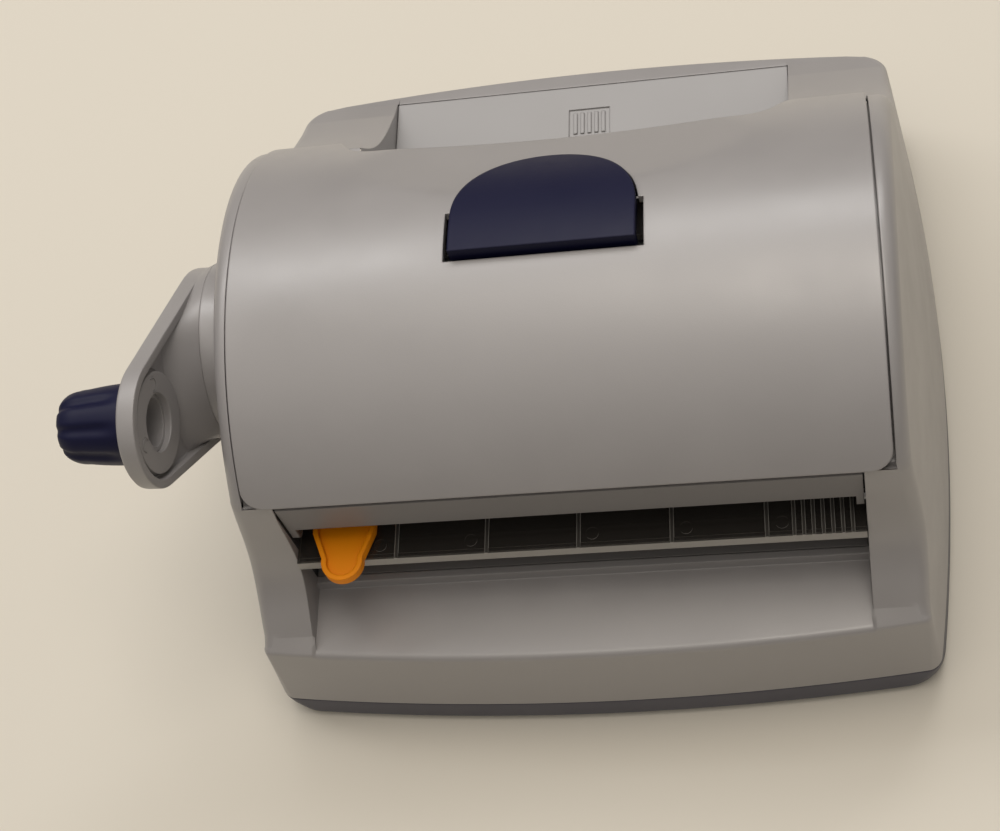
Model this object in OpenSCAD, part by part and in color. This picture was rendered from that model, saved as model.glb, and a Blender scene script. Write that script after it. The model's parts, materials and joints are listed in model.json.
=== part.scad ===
// Hand-cranked sticker laminator: paper goes in over the feed tray at +Y, passes
// between two nip rollers with a film above and below it, and comes out on the
// ramp at -Y, where a sliding cutter parts it. The crank is on the -X side.
// Each sub-part is drawn in the machine's own frame: X = 0 is the middle of the
// body, Y = 0 the line through the two exit corners and Z = 0 the table. placed()
// then moves it, so that the origin is under the middle of the bounding box.

/* [Body] */
// Width across the exit corners of the body, at the base seam
body_w = 196; // [180:1:215]
// Outward bow of each long side
side_bow = 8.2; // [4:0.1:12]
// Depth between the exit and feed corner lines, at the base seam
body_d = 202.5; // [190:0.5:220]
// Outward bow of the exit edge
exit_bow = 5.5; // [3:0.1:9]
// Outward bow of the feed edge
feed_bow = 4.5; // [2:0.1:8]
// Inward lean of the sides, per unit of height
side_lean = 0.125; // [0.08:0.005:0.15]
// Inward lean of the exit and feed faces, per unit of height
end_lean = 0.1; // [0.05:0.005:0.15]
// Wall thickness of the moulded shells
wall = 2.5; // [2:0.1:3]
// Corner radius at the feed end
feed_corner_r = 14; // [8:1:20]
// Height of the rubber feet
foot_h = 2.3; // [2:0.1:6]
// Radius of a rubber foot
foot_r = 8; // [6:0.5:10]
// Height of the base pan's wall
pan_h = 9.4; // [6:0.1:10]
// Outward flare of the base pan, per unit of depth
pan_flare = 0.07; // [0:0.01:0.1]
// Dark seam between the base pan and the housing
seam_gap = 0.6; // [0.3:0.1:1]

/* [Cover] */
// Outer radius of the arched cover
arch_r = 75.8; // [72:0.2:80]
// Distance of the arch centre from the exit corner line
arch_y = 85.9; // [84:0.1:90]
// Height of the arch centre
arch_z = 45.9; // [44:0.1:48]
// Thickness of the cover
cover_t = 2.5; // [2:0.1:3]
// Half width of the cover
cover_half = 87.7; // [86:0.1:88]
// Angle from the top down to the exit edge of the cover
exit_angle = 52.8; // [50:0.2:55]
// Angle from the top down to the feed edge of the cover
feed_angle = 61.5; // [58:0.5:64]
// Half width of the notch over the feed tray, at its top
notch_half = 57; // [48:1:60]
// Half width of the same notch, at the feed edge
notch_foot_half = 72; // [68:1:76]
// Opening angle of the cover
cover_swing = 80; // [60:5:90]
// Distance of the cover's hinge axis from the exit corner line
hinge_y = 28.6; // [28:0.1:29]
// Height of the cover's hinge axis
hinge_z = 72.2; // [72:0.1:73]
// Radius of the hinge pins
hinge_pin_r = 1.5; // [1:0.1:1.8]

/* [Exit] */
// Half width of the exit recess, between its two walls
recess_half = 80; // [78:0.5:82]
// Height of the exit ramp and of the bumper ridge
ramp_z = 42; // [40:0.5:44]
// Height of the floor inside the exit slot
floor_z = 45; // [44:0.1:45.5]
// Distance of the ramp's inner step from the exit corner line
step_y = 22.4; // [21:0.1:23]
// Top of the clear guide plate
guide_z = 65; // [64:0.1:65.5]
// Thickness of the clear guide plate
guide_t = 2; // [1.6:0.1:2.4]

/* [Feed] */
// Half width of the feed tray's pocket
pocket_half = 65; // [64:0.5:68]
// Height of the pocket's floor
tray_z = 41; // [40:0.5:42]
// Outer edge of the pocket
tray_edge_y = 197.7; // [194:0.1:199]
// Inner edge of the pocket floor, at the media bay
bay_feed_y = 151.2; // [150:0.1:152]

/* [Drive] */
// Distance of the crank axis from the exit corner line
crank_y = 83.3; // [82:0.1:84]
// Height of the crank axis
crank_z = 81.5; // [80:0.1:83]
// Length of the crank, from axis to knob axis
crank_len = 46.7; // [42:0.1:50]
// Angle of the crank above level, toward the exit
crank_angle = 36.4; // [20:0.1:60]
// Outward slant of the crank arm
crank_slant = 4.3; // [3:0.1:6]
// Radius of the crank's hub
hub_r = 24.7; // [22:0.1:25]
// Radius of the crank's knob end
knob_end_r = 18.1; // [16:0.1:18.5]
// Length of the knob
knob_len = 21.6; // [17:0.1:28]
// Radius of the knob at the crank
knob_r = 11.4; // [10:0.1:12]
// Radius of the crank shaft
crank_shaft_r = 4; // [3.5:0.1:4.5]
// Gear module
gear_m = 1; // [1:0.1:1]
// Teeth of the crank gear
crank_teeth = 48; // [48:1:48]
// Teeth of the upper nip roller's drive gear
roller_teeth = 32; // [32:1:32]
// Teeth of each nip gear
nip_teeth = 18; // [18:1:18]
// Radius of the nip rollers
roller_r = 9; // [8.8:0.05:9]
// Radius of the nip rollers' shafts
roller_shaft_r = 3; // [2.5:0.1:3.5]
// Radius of the upper supply roll
upper_roll_r = 19; // [14:0.5:20]
// Radius of the lower supply roll
lower_roll_r = 14; // [10:0.5:15]
// Half length of both supply rolls
roll_half = 64; // [58:1:66]

/* [Latch and cutter] */
// Half width of the latch button
button_half = 25.3; // [22:0.1:27]
// Distance of the button's straight edge from the exit corner line
button_y = 82.5; // [80:0.1:84]
// Length of the button's straight sides
button_side = 12.7; // [8:0.1:15]
// Height of the button's straight edge above the cover
button_rise = 3.5; // [2:0.1:4.5]
// Press angle of the latch button
button_press = 4; // [2:0.5:4]
// Half width of the cutter's finger tab
tab_half = 9; // [7:0.5:10]
// Parked distance of the cutter from the middle of the body
cutter_park = 65.6; // [60:0.1:66]
// Travel of the cutter
cutter_travel = 131.2; // [100:0.1:131.2]

/* [Hidden] */
$fn = 96;

// Clearance of a shaft in its hole
run_fit = 0.05;
// Gap between fixed pieces that are fitted beside each other
part_gap = 0.2;
// Gap between pieces that move past each other
move_gap = 0.6;
// Extra thickness of the cheek's wall outside its rim
rim_step = 0.15;
// Width of the dark line beside the cover
cover_gap = 0.6;
// Length by which a cut passes through what it cuts
through = 1;

// Heights of the base pan and of the housing's lower edge
pan_top_z = foot_h + pan_h;
housing_z = pan_top_z + seam_gap;
pan_floor_z = foot_h + 2.4;
body_top_z = arch_z + arch_r + 8;

// Plan shape of the body: four circles, at the height of the housing's lower edge
mid_y = body_d / 2;
body_half = body_w / 2;
side_r = chord_radius(mid_y, side_bow);
exit_r = chord_radius(body_half, exit_bow);
feed_r = chord_radius(body_half - feed_corner_r, feed_bow);
side_x = body_half + side_bow;
feed_y = body_d + feed_bow;

// Arch radii of the cheeks beside the cover and of the deck below it
cheek_r = arch_r - 1;
deck_r = arch_r - cover_t - 0.7;
rim_x = cover_half + cover_gap;

// Side frames and the cavity for the gears outside them
frame_t = 2.4;
frame_out = recess_half + frame_t;
cavity_x = frame_out + 0.4;
bay_exit_y = step_y + 2.8;
frame_exit_y = bay_exit_y + part_gap;
frame_feed_y = bay_feed_y - part_gap;

// Height of the media between the rollers
nip_gap = 0.1;
nip_z = floor_z + 1.5;
lower_axis_z = nip_z - nip_gap / 2 - roller_r;
upper_axis_z = nip_z + nip_gap / 2 + roller_r;
mesh_distance = gear_m * (crank_teeth + roller_teeth) / 2;
roller_y = crank_y - sqrt(pow(mesh_distance, 2) - pow(crank_z - upper_axis_z, 2));

// Supply rolls
upper_roll_y = 98;
upper_roll_z = 78;
lower_roll_y = 100;
lower_roll_z = 26;
core_r = 8;
core_journal_r = 4;
web_t = 0.3;

// Crank
knob_axis_y = crank_y - crank_len * cos(crank_angle);
knob_axis_z = crank_z + crank_len * sin(crank_angle);
collar_x = -100.6;
hub_x = collar_x - 0.3;
hub_end_r = hub_r - 1.1;
arm_face_x = -108.9;
arm_rim_d = 5.4;
arm_plate_t = 2.4;
arm_wall = 2.6;
arm_lift = crank_len * tan(crank_slant);
knob_face_x = arm_face_x - arm_lift;
knob_x = knob_face_x - knob_r * sin(crank_slant) - 0.4;
knob_end_x = knob_x - knob_len;
post_tube_r = 8;
gear_w = 5;
gear_x = -frame_out - 1.8 - gear_w;
nip_gear_x = frame_out + 1.8;
gear_backlash = 0.16;

// Latch
button_arc_y = button_y + button_side;
latch_axis_y = 112;
latch_axis_z = 110;
latch_pin_r = 1.5;
catch_y = 118;
catch_z = 95;
catch_r = 2;
hook_swing_r = norm([catch_y - hinge_y, catch_z - hinge_z]) + catch_r + 0.2;

// Cutter: the tab lies over the clear guide
tab_z = guide_z + 1.2;
tab_t = 1.6;
tab_rim_h = 1.4;
tab_tip_y = 13.2;
tab_root_y = 30;
stem_y = 34.2;
blade_t = 0.4;

// Offset that puts the origin under the middle of the bounding box
shift_x = -(side_x + pan_flare * pan_h + knob_end_x) / 2;
shift_y = -(feed_y - exit_bow) / 2;

// Radius of the circle through a chord's ends, from its half length and its rise
function chord_radius(half, rise) = (half * half + rise * rise) / (2 * rise);

// Points on the arch, at angles a0 to a1 from its top (+ is toward the feed)
function arch_points(r, a0, a1, n = 24) = [
  for (i = [0:n]) let (a = a0 + (a1 - a0) * i / n)
    [arch_y + r * sin(a), arch_z + r * cos(a)]
];

// Points on the hollow curve between p and q that sags below their chord by `sag`
function sag_points(p, q, sag, n = 10) = [
  for (i = [0:n]) let (
    t = i / n,
    chord = q - p,
    down = [chord[1], -chord[0]] / norm(chord),
    depth = -4 * sag * t * (1 - t)
  ) p + chord * t - down * depth
];

// Points of one involute tooth flank pair, for a gear of `teeth` teeth
function involute_angle(base_r, r) = let (t = sqrt(pow(r / base_r, 2) - 1)) t * 180 / PI - atan(t);
function tooth_points(teeth, i) = let (
    pitch_r = gear_m * teeth / 2,
    base_r = pitch_r * cos(20),
    tip_r = pitch_r + 0.9 * gear_m,
    root_r = pitch_r - 1.2 * gear_m,
    start_r = max(base_r, root_r + 0.05),
    half = 90 / teeth - gear_backlash / 2 / pitch_r * 180 / PI,
    at_pitch = involute_angle(base_r, pitch_r),
    middle = i * 360 / teeth,
    steps = 4,
    radii = [for (k = [0:steps]) start_r + (tip_r - start_r) * k / steps],
    lean = [for (r = radii) half + at_pitch - involute_angle(base_r, r)]
  ) concat(
    [root_r * [cos(middle - lean[0]), sin(middle - lean[0])]],
    [for (k = [0:steps]) radii[k] * [cos(middle - lean[k]), sin(middle - lean[k])]],
    [for (k = [steps:-1:0]) radii[k] * [cos(middle + lean[k]), sin(middle + lean[k])]],
    [root_r * [cos(middle + lean[0]), sin(middle + lean[0])]]
  );

// Tangent points of the band around two circles, as [on a, on b], on side s (1 or -1)
function band_tangent(a, ra, b, rb, s) = let (
    along = b - a,
    len = norm(along),
    heading = atan2(along[1], along[0]),
    tilt = acos((ra - rb) / len),
    dir = [cos(heading + s * tilt), sin(heading + s * tilt)]
  ) [a + ra * dir, b + rb * dir];

// Moves a sub-part from the machine's frame to the part's frame
module placed() {
  translate([shift_x, shift_y, 0]) children();
}

// Extrudes a side view (Y across, Z up) from x0 to x1
module along_x(x0, x1) {
  translate([x0, 0, 0]) rotate([90, 0, 90]) linear_extrude(x1 - x0) children();
}

// The same side view on both sides of the body, from |x| = x0 to x1
module both_sides(x0, x1) {
  along_x(x0, x1) children();
  along_x(-x1, -x0) children();
}

// Round bar along X, at [y, z]
module bar_x(y, z, r, x0, x1) {
  translate([x0, y, z]) rotate([0, 90, 0]) cylinder(h = x1 - x0, r = r);
}

// Filled band around two circles in a plane
module band(a, ra, b, rb) {
  left = band_tangent(a, ra, b, rb, 1);
  right = band_tangent(a, ra, b, rb, -1);
  translate(a) circle(r = ra);
  translate(b) circle(r = rb);
  polygon([left[0], left[1], b, right[1], right[0], a]);
}

// Leaning outer faces of the body, cut in by `inset`, from height z0
module leaning_faces(inset, z0) {
  h = body_top_z - z0;
  up = z0 - housing_z;
  intersection_for (s = [-1, 1]) {
    translate([s * (side_x - side_r), mid_y, z0])
      cylinder(h = h, r1 = side_r - inset - side_lean * up, r2 = side_r - inset - side_lean * (up + h), $fn = 360);
  }
}

// Leaning exit and feed faces of the body
module leaning_ends(inset, z0) {
  h = body_top_z - z0;
  up = z0 - housing_z;
  intersection() {
    translate([0, exit_r - exit_bow, z0])
      cylinder(h = h, r1 = exit_r - inset - end_lean * up, r2 = exit_r - inset - end_lean * (up + h), $fn = 360);
    translate([0, feed_y - feed_r, z0])
      cylinder(h = h, r1 = feed_r - inset - end_lean * up, r2 = feed_r - inset - end_lean * (up + h), $fn = 360);
  }
}

// Cuts the two feed corners of a leaning body round, above height z0
module corner_cut(inset, z0) {
  reach = 30;
  h = body_top_z - z0;
  r0 = feed_corner_r - inset - side_lean * (z0 - housing_z);
  corner_x = side_x - pow(body_d - mid_y, 2) / (2 * side_r) - feed_corner_r;
  corner_y = body_d - 0.4 - feed_corner_r;
  for (s = [-1, 1])
    difference() {
      translate([s * corner_x - (s < 0 ? reach : 0), corner_y, z0 - through])
        cube([reach, reach, h + 2 * through]);
      translate([s * corner_x, corner_y, z0 - 2 * through])
        cylinder(h = 60, r1 = r0 + 2 * through * side_lean, r2 = r0 - (60 - 2 * through) * side_lean);
      translate([s * corner_x - (s < 0 ? reach : 0), corner_y, z0 + 50])
        cube([reach, reach, h]);
    }
}

// Whole envelope of the body above height z0
module envelope(inset, z0) {
  difference() {
    intersection() {
      leaning_faces(inset, z0);
      leaning_ends(inset, z0);
    }
    corner_cut(inset, z0);
  }
}

// Curve of the cheek between the bumper ridge and the arch, at the exit
exit_curve = [
  [3.4, ramp_z], [10, ramp_z + 6.3], [15, ramp_z + 10.8], [18.8, ramp_z + 14.8],
  [21.6, ramp_z + 19.6], [23.2, ramp_z + 25], [24, ramp_z + 31], [24.4, ramp_z + 37], [24.8, ramp_z + 45],
];
wing_start = arch_points(arch_r + 0.3, feed_angle + 0.5, feed_angle + 0.5, 1)[0];
wing_curve = sag_points(wing_start, [tray_edge_y + 1, tray_z], 2.4);
edge_curve = [[tray_edge_y + 6, tray_z - 1.2], [tray_edge_y + 18, tray_z - 7]];

// Side view of a cheek whose arch has radius r, standing on height `low`
module cheek_side(r, low = -10) {
  polygon(concat(
    [[-20, low], [-20, ramp_z]],
    exit_curve,
    arch_points(r, -exit_angle, feed_angle + 0.5),
    wing_curve,
    edge_curve,
    [[tray_edge_y + 18, low]]
  ));
}

// Side view of the wings beside the feed pocket
module wing_side(low = -10) {
  polygon(concat([[bay_feed_y, low], [bay_feed_y, wing_start[1] - 2]], wing_curve, edge_curve, [[tray_edge_y + 18, low]]));
}

// Side view of the middle, below the feed pocket
module pocket_side(low = -10) {
  shelf_z = tray_z - 2.4;
  polygon(concat(
    [[bay_feed_y, low], [bay_feed_y, shelf_z], [tray_edge_y, shelf_z], [tray_edge_y, tray_z + 0.2], [tray_edge_y + 1, tray_z + 0.2]],
    edge_curve,
    [[tray_edge_y + 18, low]]
  ));
}

// Side view of the exit ramp and its inner step
module ramp_side(low = -10) {
  polygon([[-20, low], [-20, ramp_z], [step_y, ramp_z], [step_y + 0.6, floor_z], [bay_exit_y, floor_z], [bay_exit_y, low]]);
}

// Side view of everything on the exit side of the media bay
module exit_part_side() {
  intersection() {
    cheek_side(cheek_r);
    translate([-30, -20]) square([30 + bay_exit_y, 200]);
  }
}

module housing_solid() {
  along_x(-recess_half - 0.1, recess_half + 0.1) ramp_side();
  both_sides(recess_half, cavity_x + 0.2) exit_part_side();
  both_sides(cavity_x + 0.1, rim_x + 0.1) cheek_side(deck_r);
  both_sides(rim_x, side_x + 5) cheek_side(cheek_r);
  both_sides(pocket_half, cavity_x + 0.2) wing_side();
  along_x(-pocket_half - 0.1, pocket_half + 0.1) pocket_side();
}

module housing_hollow() {
  along_x(-recess_half - 0.1, recess_half + 0.1) offset(delta = -wall) ramp_side(-20);
  both_sides(cavity_x, rim_x + wall + 0.1) offset(delta = -wall) cheek_side(deck_r, -20);
  both_sides(rim_x + wall, side_x + 5) offset(delta = -wall - rim_step) cheek_side(cheek_r, -20);
  both_sides(pocket_half + wall, cavity_x + 0.2) offset(delta = -wall) wing_side(-20);
  along_x(-pocket_half - wall - 0.1, pocket_half + wall + 0.1) offset(delta = -wall) pocket_side(-20);
}

// Screw places in plan, and how far a screw reaches into the housing
screw_places = [[-88, 14], [88, 14], [-78, 187], [78, 187]];
screw_hold = 16;
post_r = 3.6;
screw_r = 1.45;

module housing() placed() color("#c3c0c0") {
  difference() {
    union() {
      difference() {
        intersection() {
          envelope(0, housing_z);
          housing_solid();
        }
        difference() {
          intersection() {
            envelope(wall, housing_z - through);
            housing_hollow();
          }
          for (p = screw_places)
            translate([p[0], p[1], 0]) cylinder(h = body_top_z, r = post_r);
        }
      }
      // round collar behind the crank's hub
      bar_x(crank_y, crank_z, hub_end_r, collar_x, collar_x + 9.2);
    }
    bar_x(crank_y, crank_z, hub_end_r - wall, collar_x + wall, -frame_out);
    bar_x(crank_y, crank_z, crank_shaft_r + 2.4, collar_x - through, collar_x + 2 * wall);
    for (p = screw_places)
      translate([p[0], p[1], housing_z - through]) cylinder(h = screw_hold + through, r = screw_r + run_fit);
  }
}

// Plan of the base pan at its top, cut in by `inset`
module pan_faces(inset, z0, z1) {
  h = z1 - z0;
  low = pan_top_z - z0;
  high = pan_top_z - z1;
  intersection() {
    intersection_for (s = [-1, 1]) {
      translate([s * (side_x - side_r), mid_y, z0])
        cylinder(h = h, r1 = side_r - inset + pan_flare * low, r2 = side_r - inset + pan_flare * high, $fn = 360);
    }
    translate([0, exit_r - exit_bow, z0])
      cylinder(h = h, r1 = exit_r - inset + pan_flare * low, r2 = exit_r - inset + pan_flare * high, $fn = 360);
    translate([0, feed_y - feed_r, z0])
      cylinder(h = h, r1 = feed_r - inset + pan_flare * low, r2 = feed_r - inset + pan_flare * high, $fn = 360);
  }
}

module base_pan() placed() color("#3b3d55") {
  difference() {
    union() {
      difference() {
        pan_faces(0, foot_h, pan_top_z);
        difference() {
          pan_faces(wall, pan_floor_z, pan_top_z + through);
          corner_cut(0.6 + wall, foot_h - through);
        }
        corner_cut(0.6, foot_h - through);
      }
      for (p = screw_places)
        translate([p[0], p[1], foot_h + 0.1]) cylinder(h = housing_z - foot_h - 0.1 - part_gap / 2, r = post_r);
    }
    for (p = screw_places) {
      translate([p[0], p[1], foot_h - through]) cylinder(h = 20, r = screw_r + 0.25);
      translate([p[0], p[1], foot_h - through]) cylinder(h = through + 2.4, r = 3);
    }
  }
}

foot_places = [[-82, 30], [82, 30], [-80, 168], [80, 168]];

module foot(i) placed() color("#2b2b2e") {
  translate([foot_places[i][0], foot_places[i][1], 0]) {
    cylinder(h = foot_h - 1, r1 = foot_r - 0.6, r2 = foot_r);
    translate([0, 0, foot_h - 1]) cylinder(h = 1, r = foot_r);
  }
}

module foot_1() foot(0);
module foot_2() foot(1);
module foot_3() foot(2);
module foot_4() foot(3);

module base_screw(i) placed() color("#9a9a9d") {
  p = screw_places[i];
  translate([p[0], p[1], foot_h + 0.4]) {
    difference() {
      union() {
        cylinder(h = 1.9, r = 2.7);
        cylinder(h = screw_hold + housing_z - foot_h - 1, r = screw_r);
      }
      for (a = [0, 90])
        rotate([0, 0, a]) translate([-1.7, -0.3, -through]) cube([3.4, 0.6, through + 0.9]);
    }
  }
}

module base_screw_1() base_screw(0);
module base_screw_2() base_screw(1);
module base_screw_3() base_screw(2);
module base_screw_4() base_screw(3);

// Floor of the feed pocket, with a framed sheet mark sunk into it
module feed_tray() placed() color("#cfcccb") {
  shelf_z = tray_z - 2.4;
  mark_w = 13.4;
  mark_y0 = 177.5;
  mark_d = 11;
  difference() {
    along_x(-pocket_half + part_gap, pocket_half - part_gap)
      polygon([
        [bay_feed_y + part_gap, shelf_z], [tray_edge_y - part_gap, shelf_z], [tray_edge_y - part_gap, tray_z],
        [bay_feed_y + 16, tray_z], [bay_feed_y + part_gap, floor_z]
      ]);
    difference() {
      translate([-mark_w / 2, mark_y0, tray_z - 0.5]) cube([mark_w, mark_d, 2]);
      for (i = [-2:2])
        translate([i * 2.3 - 0.6, mark_y0 + 1.4, tray_z - 2]) cube([1.2, mark_d - 2.8, 2 + tray_z]);
    }
  }
}

// Inner wall below the cover's notch; the paper goes in under its foot
module feed_hood() placed() color("#b5b2b3") {
  hood = [[129, 100], [146.2, 60], [148.2, 53.6]];
  along_x(-recess_half + part_gap, recess_half - part_gap)
    polygon([
      hood[0], hood[1], hood[2], [hood[2][0] - 0.6, hood[2][1] - 2.2], [hood[2][0] - 3.2, hood[2][1] - 2.2],
      [hood[2][0] - 2.6, hood[2][1]], [hood[1][0] - 2.6, hood[1][1]], [hood[0][0] - 2.6, hood[0][1]]
    ]);
}

// Side frame: s is -1 on the left and 1 on the right
module side_frame(s) placed() color("#8d8b90") {
  x0 = s < 0 ? -frame_out : recess_half;
  difference() {
    along_x(x0, x0 + frame_t)
      polygon(concat(
        [[frame_feed_y, pan_floor_z], [frame_exit_y, pan_floor_z], [frame_exit_y, 86]],
        arch_points(deck_r - 0.6, -exit_angle + 3, feed_angle - 0.6)
      ));
    bar_x(hinge_y, hinge_z, hinge_pin_r + run_fit, x0 - through, x0 + frame_t + through);
    for (z = [lower_axis_z, upper_axis_z])
      bar_x(roller_y, z, roller_shaft_r + run_fit, x0 - through, x0 + frame_t + through);
    if (s < 0)
      bar_x(crank_y, crank_z, crank_shaft_r + run_fit, x0 - through, x0 + frame_t + through);
  }
}

module side_frame_left() side_frame(-1);
module side_frame_right() side_frame(1);

module frame_tie_exit() placed() color("#9fa1a6")
  bar_x(30, 18, 3, -recess_half, recess_half);
module frame_tie_feed() placed() color("#9fa1a6")
  bar_x(132, 22, 3, -recess_half, recess_half);
module catch_bar() placed() color("#9fa1a6")
  bar_x(catch_y, catch_z, catch_r, -recess_half, recess_half);

// Flat guide plates that carry the paper
module guide_plate(y0, y1, half) {
  translate([-half, y0, floor_z - 1.4]) cube([2 * half, y1 - y0, 1.4]);
}

module infeed_guide() placed() color("#aaa7a8") {
  guide_plate(86, bay_feed_y - part_gap, 74.8);
  for (s = [-1, 1])
    translate([s * 60 - 1.5, bay_feed_y - 12, pan_floor_z]) cube([3, 10, floor_z - 1.4 - pan_floor_z]);
}

module outfeed_guide() placed() color("#aaa7a8") {
  guide_plate(36.8, roller_y - 6.8, recess_half - part_gap);
  for (s = [-1, 1])
    translate([s * 60 - 1.5, 37, pan_floor_z]) cube([3, 3.5, floor_z - 1.4 - pan_floor_z]);
}

// Bar below the blade, with the groove that the blade runs in
module cutting_bar() placed() color("#5a5860") {
  difference() {
    translate([-recess_half + part_gap, bay_exit_y + part_gap, floor_z - 4]) cube([2 * (recess_half - part_gap), 11, 4]);
    translate([-recess_half + 3, stem_y + 0.05, floor_z - 2.5]) cube([2 * (recess_half - 3), 1.6, 4]);
  }
}

rib_pitch = 26;
fine_rib_pitch = 2.63;

// Clear plate over the exit slot: its front flange is the cutter's rail
module clear_guide() placed() color("#dfe7ea", 0.5) {
  half = recess_half - part_gap;
  front_y = 20.6;
  back_y = 39;
  difference() {
    union() {
      translate([-half, front_y, guide_z - guide_t]) cube([2 * half, back_y - front_y, guide_t]);
      translate([-half, front_y, guide_z - 3.7]) cube([2 * half, 1.6, 4]);
      for (i = [-2:2])
        translate([i * rib_pitch + 0.6, front_y, guide_z - 0.1]) cube([0.9, 9.6, 0.6]);
      for (i = [0:6])
        translate([60 + i * fine_rib_pitch, front_y, guide_z - 0.1]) cube([0.8, 9.6, 0.6]);
      for (x = [-55.7, -29.5, 4.9, 31, 57.2])
        translate([x, 24.9, guide_z - 0.1]) cylinder(h = 0.3, r = 1.8);
    }
    // slot for the cutter's stem
    translate([-cutter_park - 3.4, stem_y - 1.6, guide_z - guide_t - through])
      cube([cutter_travel + 6.8, 3.2, guide_t + 2 * through]);
  }
}

module crank_bushing() placed() color("#d8d4c8") {
  difference() {
    union() {
      bar_x(crank_y, crank_z, crank_shaft_r + 2.3, collar_x + 0.1, collar_x + wall + 0.1);
      bar_x(crank_y, crank_z, crank_shaft_r + 5, collar_x + wall + 0.05, collar_x + wall + 1.8);
    }
    bar_x(crank_y, crank_z, crank_shaft_r + run_fit, collar_x - through, collar_x + 8);
  }
}

// Film cartridge: two end plates, ties and a handle
cartridge_in = 75.2;
cartridge_out = 77.2;

module cartridge_plate(s) placed() color("#55565e") {
  x0 = s < 0 ? -cartridge_out : cartridge_in;
  difference() {
    along_x(x0, x0 + 2)
      polygon([[76, 12], [116, 12], [121, 18], [121, 62], [112, 104], [92, 104], [76, 86], [72, 60], [72, 18]]);
    bar_x(upper_roll_y, upper_roll_z, core_journal_r + run_fit, x0 - through, x0 + 3);
    bar_x(lower_roll_y, lower_roll_z, core_journal_r + run_fit, x0 - through, x0 + 3);
    // gap that the paper passes through
    along_x(x0 - through, x0 + 2 + through) translate([70, floor_z - 1.6]) square([40, 4]);
  }
}

module cartridge_plate_left() cartridge_plate(-1);
module cartridge_plate_right() cartridge_plate(1);
module cartridge_tie_upper() placed() color("#55565e")
  bar_x(115, 58, 3, -cartridge_in, cartridge_in);
module cartridge_tie_lower() placed() color("#55565e")
  bar_x(80, 28, 3, -cartridge_in, cartridge_in);
module cartridge_handle() placed() color("#e9e7e2") {
  translate([-cartridge_in, 98, 99.2]) cube([2 * cartridge_in, 12, 2.4]);
}

// Film from a supply roll to its nip roller, on side s of both
module film_web(roll, roll_r, axis, side) {
  ends = band_tangent(roll, roll_r + 0.35, axis, roller_r + 0.35, side);
  run = ends[1] - ends[0];
  translate([-roll_half + 2, ends[0][0], ends[0][1]])
    rotate([atan2(run[1], run[0]), 0, 0])
      translate([0, 0, side > 0 ? -web_t : 0]) cube([2 * roll_half - 4, norm(run) - 5, web_t]);
}

module upper_film_web() placed() color("#e6eaec", 0.4)
  film_web([upper_roll_y, upper_roll_z], upper_roll_r, [roller_y, upper_axis_z], 1);
module lower_film_web() placed() color("#e6eaec", 0.4)
  film_web([lower_roll_y, lower_roll_z], lower_roll_r, [roller_y, lower_axis_z], -1);

// Paper core with a hub at each end
module core(y, z) {
  difference() {
    bar_x(y, z, core_r, -roll_half - 4, roll_half + 4);
    bar_x(y, z, core_r - 2, -roll_half - 1, roll_half + 1);
  }
  for (s = [-1, 1])
    bar_x(y, z, core_journal_r, s > 0 ? roll_half + 3 : -cartridge_out, s > 0 ? cartridge_out : -roll_half - 3);
}

module film_roll(y, z, r) {
  difference() {
    bar_x(y, z, r, -roll_half, roll_half);
    bar_x(y, z, core_r + run_fit, -roll_half - through, roll_half + through);
  }
}

module upper_core() placed() color("#c9b79a") core(upper_roll_y, upper_roll_z);
module lower_core() placed() color("#c9b79a") core(lower_roll_y, lower_roll_z);
module upper_film_roll() placed() color("#dfe4e6") film_roll(upper_roll_y, upper_roll_z, upper_roll_r);
module lower_film_roll() placed() color("#dfe4e6") film_roll(lower_roll_y, lower_roll_z, lower_roll_r);

// Nip rollers: steel shaft, rubber sleeve and gears
module roller_shaft(z, x0, x1) {
  bar_x(roller_y, z, roller_shaft_r, x0, x1);
  for (s = [-1, 1])
    bar_x(roller_y, z, roller_shaft_r + 1.5, s > 0 ? 77.6 : -79.4, s > 0 ? 79.4 : -77.6);
}

module roller_sleeve(z) {
  half = 74;
  difference() {
    bar_x(roller_y, z, roller_r, -half, half);
    bar_x(roller_y, z, roller_shaft_r + run_fit, -half - through, half + through);
  }
}

// Spur gear on an X axis at [y, z], turned by `turn` degrees about +X
module gear_x_axis(teeth, y, z, x0, turn, bore) {
  translate([x0, y, z]) rotate([90, 0, 90]) rotate([0, 0, turn])
    difference() {
      linear_extrude(gear_w) polygon([for (i = [0:teeth - 1]) each tooth_points(teeth, i)]);
      translate([0, 0, -through]) cylinder(h = gear_w + 2 * through, r = bore + run_fit);
    }
}

// Direction from the upper roller to the crank, about +X from +Y
mesh_heading = atan2(crank_z - upper_axis_z, crank_y - roller_y);

module upper_roller_shaft() placed() color("#b9bcc0")
  roller_shaft(upper_axis_z, gear_x - 0.8, nip_gear_x + gear_w + 0.8);
module upper_roller_sleeve() placed() color("#34343a") roller_sleeve(upper_axis_z);
module upper_drive_gear() placed() color("#e4e0d2")
  gear_x_axis(roller_teeth, roller_y, upper_axis_z, gear_x, mesh_heading, roller_shaft_r);
module upper_nip_gear() placed() color("#e4e0d2")
  gear_x_axis(nip_teeth, roller_y, upper_axis_z, nip_gear_x, -90, roller_shaft_r);
module lower_roller_shaft() placed() color("#b9bcc0")
  roller_shaft(lower_axis_z, -frame_out, nip_gear_x + gear_w + 0.8);
module lower_roller_sleeve() placed() color("#34343a") roller_sleeve(lower_axis_z);
module lower_nip_gear() placed() color("#e4e0d2")
  gear_x_axis(nip_teeth, roller_y, lower_axis_z, nip_gear_x, 90 + 180 / nip_teeth, roller_shaft_r);

hub_axis = [crank_y, crank_z];
knob_axis = [knob_axis_y, knob_axis_z];

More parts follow.
